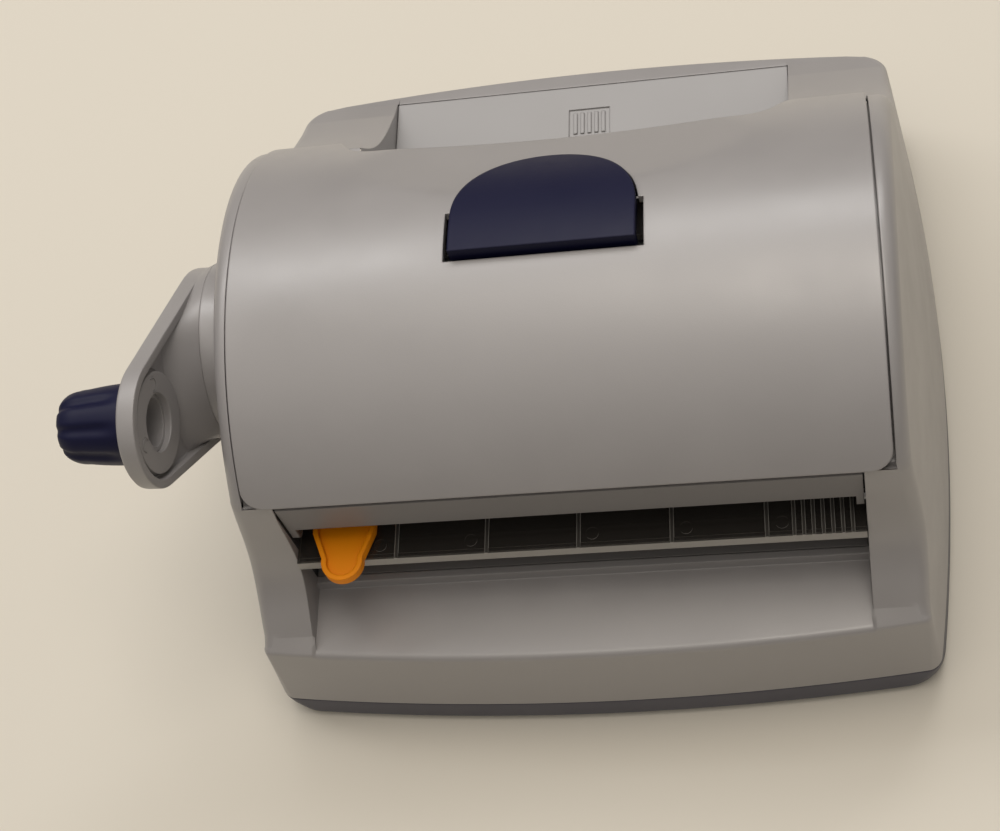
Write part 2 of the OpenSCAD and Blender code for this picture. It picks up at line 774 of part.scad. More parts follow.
// Moves to the crank arm's own frame: X inward, Y from the hub to the knob
module arm_frame() {
  translate([arm_face_x, crank_y, crank_z]) rotate([180 - crank_angle, 0, 0]) rotate([0, 0, crank_slant]) children();
}

arm_len = crank_len / cos(crank_slant);

// Crank arm: a pan that opens toward the body, with a hub and a knob boss
module crank_arm() placed() color("#bdbabc") {
  boss_r = 14.2;
  difference() {
    union() {
      arm_frame() difference() {
        along_x(0, arm_rim_d) band([0, 0], hub_r, [arm_len, 0], knob_end_r);
        along_x(arm_plate_t, arm_rim_d + through)
          band([0, 0], hub_r - arm_wall, [arm_len, 0], knob_end_r - arm_wall);
      }
      bar_x(crank_y, crank_z, hub_end_r, arm_face_x + 2.6, hub_x);
      arm_frame() bar_x(arm_len, 0, boss_r, 1, arm_rim_d - 0.7);
    }
    // hollow hub around its socket
    difference() {
      bar_x(crank_y, crank_z, hub_end_r - 3.1, arm_face_x + 5.6, hub_x + through);
      bar_x(crank_y, crank_z, 9, arm_face_x + 2, hub_x + 2 * through);
    }
    bar_x(crank_y, crank_z, crank_shaft_r + run_fit, arm_face_x + 3.5, hub_x + through);
    bar_x(crank_y, crank_z, 1.6, arm_face_x - 2 * through, arm_face_x + 4);
    bar_x(crank_y, crank_z, 5, arm_face_x - 2 * through, arm_face_x + 1.8);
    bar_x(knob_axis_y, knob_axis_z, post_tube_r + run_fit, knob_face_x - 3, knob_face_x + 10);
  }
}

module crank_shaft() placed() color("#b9bcc0") {
  difference() {
    bar_x(crank_y, crank_z, crank_shaft_r, arm_face_x + 3.6, -recess_half + 1);
    bar_x(crank_y, crank_z, 1.3, arm_face_x + 3, arm_face_x + 14);
  }
}

module crank_gear() placed() color("#e4e0d2")
  gear_x_axis(crank_teeth, crank_y, crank_z, gear_x, mesh_heading + 180 + 180 / crank_teeth, crank_shaft_r);

module crank_screw() placed() color("#9a9a9d") {
  difference() {
    union() {
      bar_x(crank_y, crank_z, 4.4, arm_face_x + 0.3, arm_face_x + 1.7);
      bar_x(crank_y, crank_z, 1.25, arm_face_x + 1.6, arm_face_x + 11);
    }
    for (a = [0, 90])
      translate([arm_face_x - 0.3, crank_y, crank_z]) rotate([a, 0, 0]) translate([0, -2, -0.35]) cube([1.3, 4, 0.7]);
  }
}

// Hollow post that the knob turns on, open at the crank's boss
module knob_post() placed() color("#bdbabc") difference() {
  bar_x(knob_axis_y, knob_axis_z, post_tube_r, knob_x - 12, knob_face_x + 3.2);
  bar_x(knob_axis_y, knob_axis_z, post_tube_r - 1.2, knob_x - 10.6, knob_face_x + 4);
}

// Fluted knob with a domed end
module knob() placed() color("#1f2143") {
  flutes = 8;
  end_r = knob_r - 1.1;
  translate([knob_x, knob_axis_y, knob_axis_z]) rotate([0, -90, 0])
    difference() {
      rotate_extrude() polygon(concat(
        [[0, 0], [knob_r - 0.8, 0], [knob_r, 1]],
        [for (a = [0:15:90]) [end_r - 4 + 4 * cos(a), knob_len - 4 + 4 * sin(a)]],
        [[0, knob_len]]
      ));
      for (i = [0:flutes - 1])
        rotate([0, 0, i * 360 / flutes]) translate([knob_r + 1.5, 0, 4]) cylinder(h = knob_len, r = 2.2);
      translate([0, 0, -through]) cylinder(h = 12.3 + through, r = post_tube_r + run_fit);
    }
}

// Hollow that thins the cover in front of its feed edge
module scoop() {
  scoop_r = 520;
  scoop_tilt = 29;
  start = [0, 103, 119.7];
  translate(start) rotate([-90 - scoop_tilt, 0, 0]) translate([0, -scoop_r, -30]) cylinder(h = 100, r = scoop_r, $fn = 360);
}

// Plan of the latch button, grown by g
module button_plan(g) {
  intersection() {
    translate([0, button_arc_y]) circle(r = button_half + g);
    translate([-button_half - g, button_arc_y]) square([2 * (button_half + g), button_half + g]);
  }
  translate([-button_half - g, button_y - g]) square([2 * (button_half + g), button_side + g]);
}

latch_boss_x = 24.6;

// Arched cover with the notch over the feed tray and the button's opening
module cover_shell() placed() color("#c3c0c0") {
  corner = 6;
  difference() {
    union() {
      along_x(-cover_half, cover_half)
        polygon(concat(arch_points(arch_r, -exit_angle, feed_angle, 60), arch_points(arch_r - cover_t, feed_angle, -exit_angle, 60)));
      // thicker wall under the scoop
      along_x(-notch_half - 5, notch_half + 5)
        polygon(concat(arch_points(arch_r - 1, 20, 38, 12), arch_points(arch_r - cover_t - 2.4, 38, 20, 12)));
    }
    difference() {
      scoop();
      along_x(-100, 100) translate([0, -50]) square([60, 200]);
    }
    // notch: two slanted sides and a top
    translate([0, 0, arch_z]) linear_extrude(100) polygon([
      [-notch_foot_half, 170], [-notch_foot_half, 152.5], [-notch_half - 4, 134], [-notch_half + 1, 131.5],
      [notch_half - 1, 131.5], [notch_half + 4, 134], [notch_foot_half, 152.5], [notch_foot_half, 170]
    ]);
    translate([0, 0, 100]) linear_extrude(40) {
      button_plan(0.6);
      translate([-button_half - 1.9, button_y - 1]) square([2 * button_half + 3.8, 16]);
    }
    // rounded exit corners
    for (s = [-1, 1])
      translate([s * cover_half, arch_y, arch_z]) rotate([exit_angle, 0, 0]) translate([0, 0, arch_r])
        difference() {
          translate([-corner, -0.5, -6]) cube([2 * corner, corner, 12]);
          translate([-s * corner, corner - 0.5, -7]) cylinder(h = 14, r = corner);
        }
  }
  // bosses that hold the latch pin
  for (s = [-1, 1])
    difference() {
      along_x(s * latch_boss_x - 1.5, s * latch_boss_x + 1.5)
        intersection() {
          translate([latch_axis_y - 3.5, latch_axis_z - 3.5]) square([7, 30]);
          translate([arch_y, arch_z]) circle(r = arch_r - cover_t + 0.2);
        }
      bar_x(latch_axis_y, latch_axis_z, latch_pin_r + run_fit, -30, 30);
    }
}

// Strip below the cover's exit edge, with a hinge ear at each end
module cover_lip() placed() color("#b9b6b6") {
  half = recess_half - 0.4;
  strip_y = 26;
  strip_z = 76.4;
  ear_t = 2.1;
  under_r = arch_r - cover_t - 0.15;
  difference() {
    union() {
      translate([-half, strip_y, strip_z]) along_x(0, 2 * half) square([2, 13]);
      along_x(-half, half)
        polygon(concat(arch_points(under_r, -exit_angle, -exit_angle + 9, 6), arch_points(under_r - 2, -exit_angle + 9, -exit_angle - 1, 6)));
      for (s = [-1, 1])
        along_x(s > 0 ? half - ear_t : -half, s > 0 ? half : -half + ear_t) {
          translate([hinge_y, hinge_z]) circle(r = 2.7);
          translate([hinge_y - 2.6, hinge_z]) square([5.3, 17]);
        }
    }
    bar_x(hinge_y, hinge_z, hinge_pin_r + run_fit, -half - through, half + through);
  }
}

module hinge_pin(s) placed() color("#b9bcc0") {
  x0 = recess_half - 0.4 - 2.1;
  bar_x(hinge_y, hinge_z, hinge_pin_r, s > 0 ? x0 : -frame_out, s > 0 ? frame_out : -x0);
}

module hinge_pin_left() hinge_pin(-1);
module hinge_pin_right() hinge_pin(1);

module latch_pin() placed() color("#b9bcc0")
  bar_x(latch_axis_y, latch_axis_z, latch_pin_r, -latch_boss_x - 1.5, latch_boss_x + 1.5);

// Close-wound torsion spring around the latch pin, with a leg under the cap
module latch_spring() placed() color("#c9ccd0") {
  wire = 0.6;
  coil_r = 2.4;
  turns = 6;
  spring_x = 1;
  difference() {
    union() {
      bar_x(latch_axis_y, latch_axis_z, coil_r - 0.2, spring_x, spring_x + turns * wire);
      for (i = [0:turns - 1])
        bar_x(latch_axis_y, latch_axis_z, coil_r, spring_x + i * wire + 0.15, spring_x + (i + 1) * wire - 0.15);
      translate([spring_x + wire / 2, latch_axis_y - coil_r + wire / 2, latch_axis_z - 5]) cylinder(h = 5, r = wire / 2 - 0.01);
    }
    bar_x(latch_axis_y, latch_axis_z, coil_r - wire, spring_x - through, spring_x + turns * wire + through);
  }
}

// Point on the latch hook's inner face, at height z
function hook_point(z) = [hinge_y + sqrt(pow(hook_swing_r, 2) - pow(z - hinge_z, 2)), z];

// Half-round latch button: a rising cap, two ears on the pin and a hook
module latch_button() placed() color("#20224a") {
  skirt_z = 112;
  difference() {
    union() {
      intersection() {
        translate([0, 0, skirt_z - 6]) linear_extrude(30) button_plan(0);
        along_x(-button_half - 1, button_half + 1) button_side();
      }
      for (s = [-1, 1])
        along_x(s * 8 - 1.6, s * 8 + 1.6)
          polygon([
            [latch_axis_y - 3.2, latch_axis_z - 3.2], [latch_axis_y + 3.2, latch_axis_z - 3.2],
            [latch_axis_y + 3.2, latch_axis_z + 2], [latch_axis_y - 3.2, latch_axis_z + 5.5]
          ]);
      // hook beside the catch bar, hollowed along the path of the opening cover
      for (s = [-1, 1])
        along_x(s * 8 - 1.6, s * 8 + 1.6)
          polygon([
            [latch_axis_y + 3, latch_axis_z], [latch_axis_y + 3, latch_axis_z - 3.2],
            hook_point(101), hook_point(97), hook_point(92),
            hook_point(92) + [1.6, -0.4], hook_point(101) + [2.4, 1], [latch_axis_y + 6.4, latch_axis_z - 2]
          ]);
    }
    bar_x(latch_axis_y, latch_axis_z, latch_pin_r + run_fit, -30, 30);
  }
}

// Side view of the button's cap: level at its straight edge, flush at its round end
module button_side() {
  top_z = arch_z + arch_r + button_rise;
  apex_y = button_arc_y + button_half;
  cap_drop = 14.6;
  steps = 24;
  reach = apex_y + 2 - button_y;
  polygon(concat(
    [for (i = [0:steps]) [button_y - 1 + reach * i / steps, top_z - cap_drop * pow(i / steps, 2.1)]],
    [
      [apex_y + 1, top_z - cap_drop - 2.6], [button_y + 30, top_z - 12.6], [button_y + 22, top_z - 8.6],
      [button_y + 12, top_z - 5.2], [button_y + 2.2, top_z - 3.6], [button_y + 2.2, top_z - 8], [button_y - 1, top_z - 8]
    ]
  ));
}

// Finger tab of the cutter: a shallow dish with a raised rim
module tab_plan(g) {
  tip_r = 6 + g;
  root = tab_half + g;
  tip_y = tab_tip_y + 6;
  polygon([
    [-root, tab_root_y + 4], [-root, tab_root_y - 2], [-tip_r * 0.99, tip_y + 0.8],
    [tip_r * 0.99, tip_y + 0.8], [root, tab_root_y - 2], [root, tab_root_y + 4]
  ]);
  translate([0, tip_y]) circle(r = tip_r);
}

module cutter_slider() placed() color("#f39a1d") {
  translate([-cutter_park, 0, 0]) {
    difference() {
      translate([0, 0, tab_z]) linear_extrude(tab_t + tab_rim_h) tab_plan(0);
      translate([0, 0, tab_z + tab_t]) linear_extrude(5) tab_plan(-1.5);
    }
    difference() {
      union() {
        translate([-3, stem_y - 1.2, guide_z - guide_t - 5]) cube([6, 2.4, guide_t + 6.6]);
        translate([-7, stem_y - 3, guide_z - guide_t - 5.2]) cube([14, 6, 4.6]);
      }
      translate([-4.2, stem_y + 0.6, guide_z - guide_t - 6]) cube([8.4, blade_t + 0.1, 4]);
    }
  }
}

// Pointed blade held in the slider's foot
module cutter_blade() placed() color("#c4c8cc") {
  low_z = floor_z - 1.5;
  top_z = guide_z - guide_t - 2.1;
  translate([-cutter_park, stem_y + 0.65, 0]) rotate([90, 0, 0]) translate([0, 0, -blade_t])
    linear_extrude(blade_t) polygon([[-4, top_z], [-4, top_z - 5], [0, low_z], [4, top_z - 5], [4, top_z]]);
}

module blade_screw() placed() color("#9a9a9d") {
  translate([-cutter_park, stem_y - 4.2, guide_z - guide_t - 3]) rotate([-90, 0, 0])
    cylinder(h = 1.1, r = 1.8);
}

base_pan();
foot_1();
foot_2();
foot_3();
foot_4();
base_screw_1();
base_screw_2();
base_screw_3();
base_screw_4();
housing();
feed_tray();
feed_hood();
side_frame_left();
side_frame_right();
frame_tie_exit();
frame_tie_feed();
catch_bar();
infeed_guide();
outfeed_guide();
cutting_bar();
clear_guide();
crank_bushing();
cartridge_plate_left();
cartridge_plate_right();
cartridge_tie_upper();
cartridge_tie_lower();
cartridge_handle();
upper_film_web();
lower_film_web();
upper_core();
upper_film_roll();
lower_core();
lower_film_roll();
upper_roller_shaft();
upper_roller_sleeve();
upper_drive_gear();
upper_nip_gear();
lower_roller_shaft();
lower_roller_sleeve();
lower_nip_gear();
crank_arm();
crank_shaft();
crank_gear();
crank_screw();
knob_post();
knob();
cover_shell();
cover_lip();
hinge_pin_left();
hinge_pin_right();
latch_pin();
latch_spring();
latch_button();
cutter_slider();
cutter_blade();
blade_screw();
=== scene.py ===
# %% [markdown]
# # A hand-cranked sticker laminator
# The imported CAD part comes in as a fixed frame. This script gives it its looks: moulded plastics with fine
# texture, clear and metal parts, soft light and a camera above the exit side.

import json
import math

import bmesh
import bpy
import numpy as np
from mathutils import Matrix, Vector
from mathutils.geometry import delaunay_2d_cdt


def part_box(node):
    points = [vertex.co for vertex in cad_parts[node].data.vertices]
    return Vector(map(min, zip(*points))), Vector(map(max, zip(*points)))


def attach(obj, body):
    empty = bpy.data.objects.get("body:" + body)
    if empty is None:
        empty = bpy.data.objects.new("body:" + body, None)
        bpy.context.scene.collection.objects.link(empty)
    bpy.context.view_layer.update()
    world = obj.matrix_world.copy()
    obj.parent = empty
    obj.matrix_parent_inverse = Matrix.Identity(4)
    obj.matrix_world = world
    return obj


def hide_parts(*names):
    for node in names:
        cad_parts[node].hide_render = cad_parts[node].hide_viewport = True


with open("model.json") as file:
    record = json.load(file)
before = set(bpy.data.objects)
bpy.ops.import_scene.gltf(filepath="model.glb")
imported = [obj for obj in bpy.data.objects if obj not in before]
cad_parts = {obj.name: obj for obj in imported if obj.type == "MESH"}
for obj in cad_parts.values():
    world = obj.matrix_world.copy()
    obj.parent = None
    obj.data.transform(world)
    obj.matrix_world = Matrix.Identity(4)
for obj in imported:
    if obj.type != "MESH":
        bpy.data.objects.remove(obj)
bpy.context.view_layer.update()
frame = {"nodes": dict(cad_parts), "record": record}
nodes = frame["nodes"]
MM = 0.001
# The CAD is drawn with X = 0 in the middle of the body and Y = 0 on the exit corner line, and the bar
# that the latch hooks under is at Y = 118 there
bar_low, bar_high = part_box("catch_bar")
SHIFT = Vector(((bar_low[0] + bar_high[0]) / 2, (bar_low[1] + bar_high[1]) / 2 - 118 * MM, 0.0))


# %% [markdown]
# ## Plastics
# A moulded plastic has a fine grain that is felt in its highlights more than seen. Two scales of noise make
# it: one for the grain's bump, one for slow changes of gloss and tone from handling.

# %% A builder for plastics
def material(name):
    mat = bpy.data.materials.new(name)
    mat.use_nodes = True
    tree = mat.node_tree
    shader = tree.nodes["Principled BSDF"]
    return mat, tree, shader


def noise(tree, scale, detail):
    coord = tree.nodes.new("ShaderNodeTexCoord")
    tex = tree.nodes.new("ShaderNodeTexNoise")
    tex.inputs["Scale"].default_value = scale
    tex.inputs["Detail"].default_value = detail
    tex.inputs["Roughness"].default_value = 0.6
    tree.links.new(coord.outputs["Object"], tex.inputs["Vector"])
    return tex.outputs["Fac"]


def spread(tree, value, low, high):
    """Map noise, which stays near a half, to the range low..high."""
    node = tree.nodes.new("ShaderNodeMapRange")
    node.inputs["From Min"].default_value = 0.3
    node.inputs["From Max"].default_value = 0.7
    node.inputs["To Min"].default_value = low
    node.inputs["To Max"].default_value = high
    tree.links.new(value, node.inputs["Value"])
    return node.outputs["Result"]


def tinted(tree, value, color, change):
    """A colour that grows a little lighter and darker with value."""
    mix = tree.nodes.new("ShaderNodeMix")
    mix.data_type = "RGBA"
    mix.inputs["A"].default_value = [c * (1 - change) for c in color] + [1.0]
    mix.inputs["B"].default_value = [c * (1 + change) for c in color] + [1.0]
    tree.links.new(value, mix.inputs["Factor"])
    return mix.outputs["Result"]


def plastic(name, color, rough, grain=0.10, grain_scale=2600.0, specular=0.5, edge=0.0006):
    mat, tree, shader = material(name)
    slow = noise(tree, 38.0, 5.0)
    fine = noise(tree, grain_scale, 2.0)
    tree.links.new(tinted(tree, slow, color, 0.05), shader.inputs["Base Color"])
    tree.links.new(spread(tree, slow, rough - 0.05, rough + 0.06), shader.inputs["Roughness"])
    shader.inputs["Specular IOR Level"].default_value = specular
    bump = tree.nodes.new("ShaderNodeBump")
    bump.inputs["Strength"].default_value = grain
    bump.inputs["Distance"].default_value = 0.0001
    tree.links.new(fine, bump.inputs["Height"])
    if edge:
        round_edge = tree.nodes.new("ShaderNodeBevel")
        round_edge.samples = 6
        round_edge.inputs["Radius"].default_value = edge
        tree.links.new(round_edge.outputs["Normal"], bump.inputs["Normal"])
    tree.links.new(bump.outputs["Normal"], shader.inputs["Normal"])
    return mat


def metal(name, color, rough):
    mat, tree, shader = material(name)
    slow = noise(tree, 60.0, 4.0)
    fine = noise(tree, 900.0, 2.0)
    shader.inputs["Metallic"].default_value = 1.0
    tree.links.new(tinted(tree, slow, color, 0.08), shader.inputs["Base Color"])
    tree.links.new(spread(tree, fine, rough - 0.06, rough + 0.08), shader.inputs["Roughness"])
    bump = tree.nodes.new("ShaderNodeBump")
    bump.inputs["Strength"].default_value = 0.06
    bump.inputs["Distance"].default_value = 0.0001
    tree.links.new(fine, bump.inputs["Height"])
    tree.links.new(bump.outputs["Normal"], shader.inputs["Normal"])
    return mat


def clear(name, color, rough, transmission):
    mat, tree, shader = material(name)
    slow = noise(tree, 120.0, 3.0)
    tree.links.new(tinted(tree, slow, color, 0.03), shader.inputs["Base Color"])
    tree.links.new(spread(tree, slow, rough, rough + 0.06), shader.inputs["Roughness"])
    shader.inputs["Transmission Weight"].default_value = transmission
    shader.inputs["IOR"].default_value = 1.49
    return mat


def clear_with_painted_shade_and_highlight(name, face, wall, rough, see_through):
    """A clear plate with a dark base colour that stands in for the dark bay behind it: its black parts and
    painted shade. Where its walls are seen edge-on, the base colour turns whiter: a painted highlight.
    """
    mat, tree, shader = material(name)
    slow = noise(tree, 90.0, 3.0)
    facing = tree.nodes.new("ShaderNodeLayerWeight")
    facing.inputs["Blend"].default_value = 0.5
    painted_highlight_mask = tree.nodes.new("ShaderNodeMapRange")
    painted_highlight_mask.inputs["From Min"].default_value = 0.22
    painted_highlight_mask.inputs["From Max"].default_value = 0.60
    tree.links.new(facing.outputs["Facing"], painted_highlight_mask.inputs["Value"])
    # painted highlight: the base colour goes from the dark face colour to the pale wall colour as faces turn
    # edge-on
    mix = tree.nodes.new("ShaderNodeMix")
    mix.data_type = "RGBA"
    mix.inputs["B"].default_value = (*wall, 1.0)
    tree.links.new(tinted(tree, slow, face, 0.08), mix.inputs["A"])
    tree.links.new(painted_highlight_mask.outputs["Result"], mix.inputs["Factor"])
    tree.links.new(mix.outputs["Result"], shader.inputs["Base Color"])
    tree.links.new(spread(tree, slow, rough, rough + 0.05), shader.inputs["Roughness"])
    shader.inputs["Alpha"].default_value = 1.0 - see_through
    return mat


# %% The materials, by the record's slot
GREY = (0.302, 0.289, 0.290)
NAVY = (0.0045, 0.0052, 0.031)
looks = {
    "shell_grey": plastic("shell_grey", GREY, 0.36, grain=0.16, specular=1.0),
    "tray_grey": plastic("tray_grey", (0.33, 0.322, 0.324), 0.46, grain=0.06, specular=0.8),
    "inner_grey": plastic("inner_grey", (0.170, 0.162, 0.160), 0.55),
    "pan_navy": plastic("pan_navy", (0.075, 0.074, 0.095), 0.5, grain=0.16),
    "foot_rubber": plastic("foot_rubber", (0.018, 0.018, 0.018), 0.8, grain=0.3),
    "screw_steel": metal("screw_steel", (0.45, 0.45, 0.46), 0.38),
    "frame_plastic": plastic("frame_plastic", (0.035, 0.034, 0.036), 0.55),
    "rod_steel": metal("rod_steel", (0.56, 0.56, 0.57), 0.30),
    # clear guide plate: its dark face colour stands in for the dark bay seen through it, partly painted
    # shade, and its pale edge-on colour is a painted highlight
    "clear_plastic": clear_with_painted_shade_and_highlight("clear_plastic", (0.028, 0.025, 0.022), (0.55, 0.53, 0.50), 0.14, 0.30),
    "bearing_plastic": plastic("bearing_plastic", (0.62, 0.60, 0.52), 0.45),
    "cartridge_plastic": plastic("cartridge_plastic", (0.030, 0.030, 0.034), 0.5),
    "clear_film": clear("clear_film", (0.80, 0.82, 0.84), 0.12, 0.55),
    "core_board": plastic("core_board", (0.36, 0.25, 0.13), 0.85, grain=0.4, grain_scale=900.0),
    "roller_rubber": plastic("roller_rubber", (0.022, 0.022, 0.024), 0.62, grain=0.25),
    "gear_plastic": plastic("gear_plastic", (0.66, 0.63, 0.55), 0.45),
    "crank_grey": plastic("crank_grey", GREY, 0.42, grain=0.16, specular=0.9, edge=0.0004),
    "button_navy": plastic("button_navy", NAVY, 0.50, grain=0.14, specular=0.25, edge=0.0009),
    "tab_orange": plastic("tab_orange", (0.86, 0.27, 0.0), 0.5, grain=0.05, specular=0.2, edge=0.0007),
    "blade_steel": metal("blade_steel", (0.62, 0.63, 0.64), 0.22),
}
for entry in frame["record"]["subparts"]:
    obj = nodes[entry["node"]]
    obj.data.materials.clear()
    obj.data.materials.append(looks[entry["material_slot"]])
nodes["cutting_bar"].data.materials[0] = looks["inner_grey"]
# painted shade: the strip under the cover's exit edge is the shell plastic at 0.62 of its brightness, for the
# shade under the cover's overhang
nodes["cover_lip"].data.materials[0] = plastic("shell_grey_lip_painted_shade", [0.62 * c for c in GREY], 0.45, grain=0.16)
print("materials:", len(looks))


# %% [markdown]
# ## Smooth shading
# A CAD mesh comes as triangles on exact surfaces. Faces that meet at a small angle are shaded as one smooth
# surface, and the sharp edges stay sharp.

# %% Shade every node smooth below 24 degrees
SMOOTH_BELOW = math.radians(24)
for obj in nodes.values():
    weld = obj.modifiers.new("weld", "WELD")
    weld.merge_threshold = 1e-6
    obj.data.shade_smooth()
    split = obj.modifiers.new("sharp edges", "EDGE_SPLIT")
    split.split_angle = SMOOTH_BELOW
    split.use_edge_sharp = False
    level = obj.modifiers.new("flat faces stay flat", "WEIGHTED_NORMAL")
    level.keep_sharp = True
print("shaded:", len(nodes))


# %% [markdown]
# ## The housing's skin
# The CAD housing has the right size and place but sharp edges. This skin keeps its planes and gives every
# edge a real radius. A path runs round the body at the base seam: exit face, corner, side, corner, feed
# face. At each station the wall rises to the roof, a fillet turns onto the roof, and the roof runs inward.

# %% Plan path of the body, at the seam's height, in millimetres
SEAM_Z = 12.3
HALF_W, BODY_D = 98.0, 202.5
EXIT_BOW, SIDE_BOW, FEED_BOW = 5.5, 8.2, 4.5
EXIT_CORNER_R, FEED_CORNER_R = 5.0, 14.0
SIDE_LEAN, END_LEAN = 0.125, 0.1


def bow_radius(half, rise):
    return (half * half + rise * rise) / (2 * rise)


EXIT_R = bow_radius(HALF_W, EXIT_BOW)
SIDE_R = bow_radius(BODY_D / 2, SIDE_BOW)
FEED_R = bow_radius(HALF_W - FEED_CORNER_R, FEED_BOW)
EXIT_C = Vector((0.0, EXIT_R - EXIT_BOW))
SIDE_C = Vector((HALF_W + SIDE_BOW - SIDE_R, BODY_D / 2))
FEED_C = Vector((0.0, BODY_D + FEED_BOW - FEED_R))


def corner_centre(c0, r0, c1, r1, sign):
    """Where circles of radius r0 about c0 and r1 about c1 cross, on the side that sign gives."""
    along = c1 - c0
    d = along.length
    a = (r0 * r0 - r1 * r1 + d * d) / (2 * d)
    h = math.sqrt(r0 * r0 - a * a)
    unit = along / d
    return c0 + unit * a + Vector((-unit.y, unit.x)) * h * sign


EXIT_CORNER = corner_centre(EXIT_C, EXIT_R - EXIT_CORNER_R, SIDE_C, SIDE_R - EXIT_CORNER_R, 1)
FEED_CORNER = corner_centre(FEED_C, FEED_R - FEED_CORNER_R, SIDE_C, SIDE_R - FEED_CORNER_R, -1)


def exit_station(x):
    n = Vector((x / EXIT_R, -math.sqrt(1 - (x / EXIT_R) ** 2)))
    return EXIT_C + n * EXIT_R, n, END_LEAN


def feed_station(x):
    n = Vector((x / FEED_R, math.sqrt(1 - (x / FEED_R) ** 2)))
    return FEED_C + n * FEED_R, n, END_LEAN


def side_station(y):
    n = Vector((math.sqrt(1 - ((y - SIDE_C.y) / SIDE_R) ** 2), (y - SIDE_C.y) / SIDE_R))
    return SIDE_C + n * SIDE_R, n, SIDE_LEAN


def arc_stations(centre, r, n0, n1, lean0, lean1, count):
    """Stations round a corner, from normal n0 to normal n1."""
    a0, a1 = math.atan2(n0.y, n0.x), math.atan2(n1.y, n1.x)
    out = []
    for k in range(1, count):
        t = k / count
        a = a0 + (a1 - a0) * t
        n = Vector((math.cos(a), math.sin(a)))
        out.append((centre + n * r, n, lean0 + (lean1 - lean0) * t))
    return out


# %% Side view of the cheek: shoulder, arch and wing
ARCH_Y, ARCH_Z, CHEEK_R, DECK_R = 85.9, 45.9, 74.8, 72.6
EXIT_ANGLE, FEED_ANGLE = math.radians(52.8), math.radians(62.0)
RIDGE_Z, POCKET_Z, LIP_Y = 42.0, 41.0, 198.7


def smooth_path(points, step=1.5):
    """Catmull-Rom curve through points, sampled about every step."""
    out = []
    ends = [points[0] * 2 - points[1]] + points + [points[-1] * 2 - points[-2]]
    for k in range(1, len(ends) - 2):
        p0, p1, p2, p3 = ends[k - 1 : k + 3]
        n = max(2, int((p2 - p1).length / step))
        for j in range(n):
            t = j / n
            bend, twist = 2 * p0 - 5 * p1 + 4 * p2 - p3, 3 * p1 - p0 - 3 * p2 + p3
            out.append(0.5 * (2 * p1 + (p2 - p0) * t + bend * t**2 + twist * t**3))
    return out + [points[-1]]


def arch_point(r, a):
    return Vector((ARCH_Y + r * math.sin(a), ARCH_Z + r * math.cos(a)))


shoulder_points = [(5.2, 43.7), (10, 48.3), (15, 52.9), (18.9, 57.6), (21.4, 62.6), (23.0, 69), (24.0, 76)]
shoulder_points.append((24.9, 84))
shoulder = smooth_path([Vector(p) for p in shoulder_points] + [arch_point(CHEEK_R, -EXIT_ANGLE)])
arch = [arch_point(CHEEK_R, -EXIT_ANGLE + (EXIT_ANGLE + FEED_ANGLE) * k / 72) for k in range(1, 72)]
wing_points = [(156.2, 74.6), (161.3, 67.6), (167.6, 60.9), (174.8, 54.9), (182.6, 49.6), (190.6, 44.9)]
wing_points.append((LIP_Y, POCKET_Z))
wing = smooth_path([arch_point(CHEEK_R, FEED_ANGLE)] + [Vector(p) for p in wing_points], 2.5)
print("profile points:", len(shoulder), len(arch), len(wing))


# %% Fillet between wall and roof
def profile_normals(path):
    out = []
    for k in range(len(path)):
        d = path[min(k + 1, len(path) - 1)] - path[max(k - 1, 0)]
        out.append(Vector((0.0, -d.y, d.x)).normalized())
    return out


def wall_point(station, z):
    q, n, lean = station
    p = q - n * lean * (z - SEAM_Z)
    return Vector((p.x, p.y, z))


def wall_normal(station):
    q, n, lean = station
    return Vector((n.x, n.y, lean)).normalized()


def fillet(point, wall_n, roof_n, r, count=7):
    """Points of the round from the wall to the roof, near the sharp edge point."""
    centre = point - (wall_n + roof_n) * (r / (1 + wall_n.dot(roof_n)))
    angle = wall_n.angle(roof_n)
    out = []
    for k in range(count + 1):
        t = k / count
        direction = (wall_n * math.sin((1 - t) * angle) + roof_n * math.sin(t * angle)) / math.sin(angle)
        out.append(centre + direction * r)
    return out


def side_at(p):
    """The side station whose leaning wall passes through the side-view point p."""
    y = p.x
    for _ in range(4):
        n_y = (y - SIDE_C.y) / SIDE_R
        y = p.x + n_y * SIDE_LEAN * (p.y - SEAM_Z)
    return side_station(y)


# %% Columns of the outer wall, each with its fillet's end on the roof
WALL_STEPS = 12
columns = []


def add_column(station, z, roof_n, r, kind):
    edge = wall_point(station, z)
    curve = fillet(edge, wall_normal(station), roof_n, r)
    base = wall_point(station, SEAM_Z)
    wall = [base.lerp(curve[0], k / WALL_STEPS) for k in range(WALL_STEPS)]
    columns.append({"points": wall + curve, "end": curve[-1], "kind": kind})


FLAT = Vector((0.0, 0.0, 1.0))
shoulder_n = profile_normals(shoulder)
SLOPE = shoulder_n[0]
RECESS_X, RIM_X, POCKET_X = 80.0, 88.3, 65.0
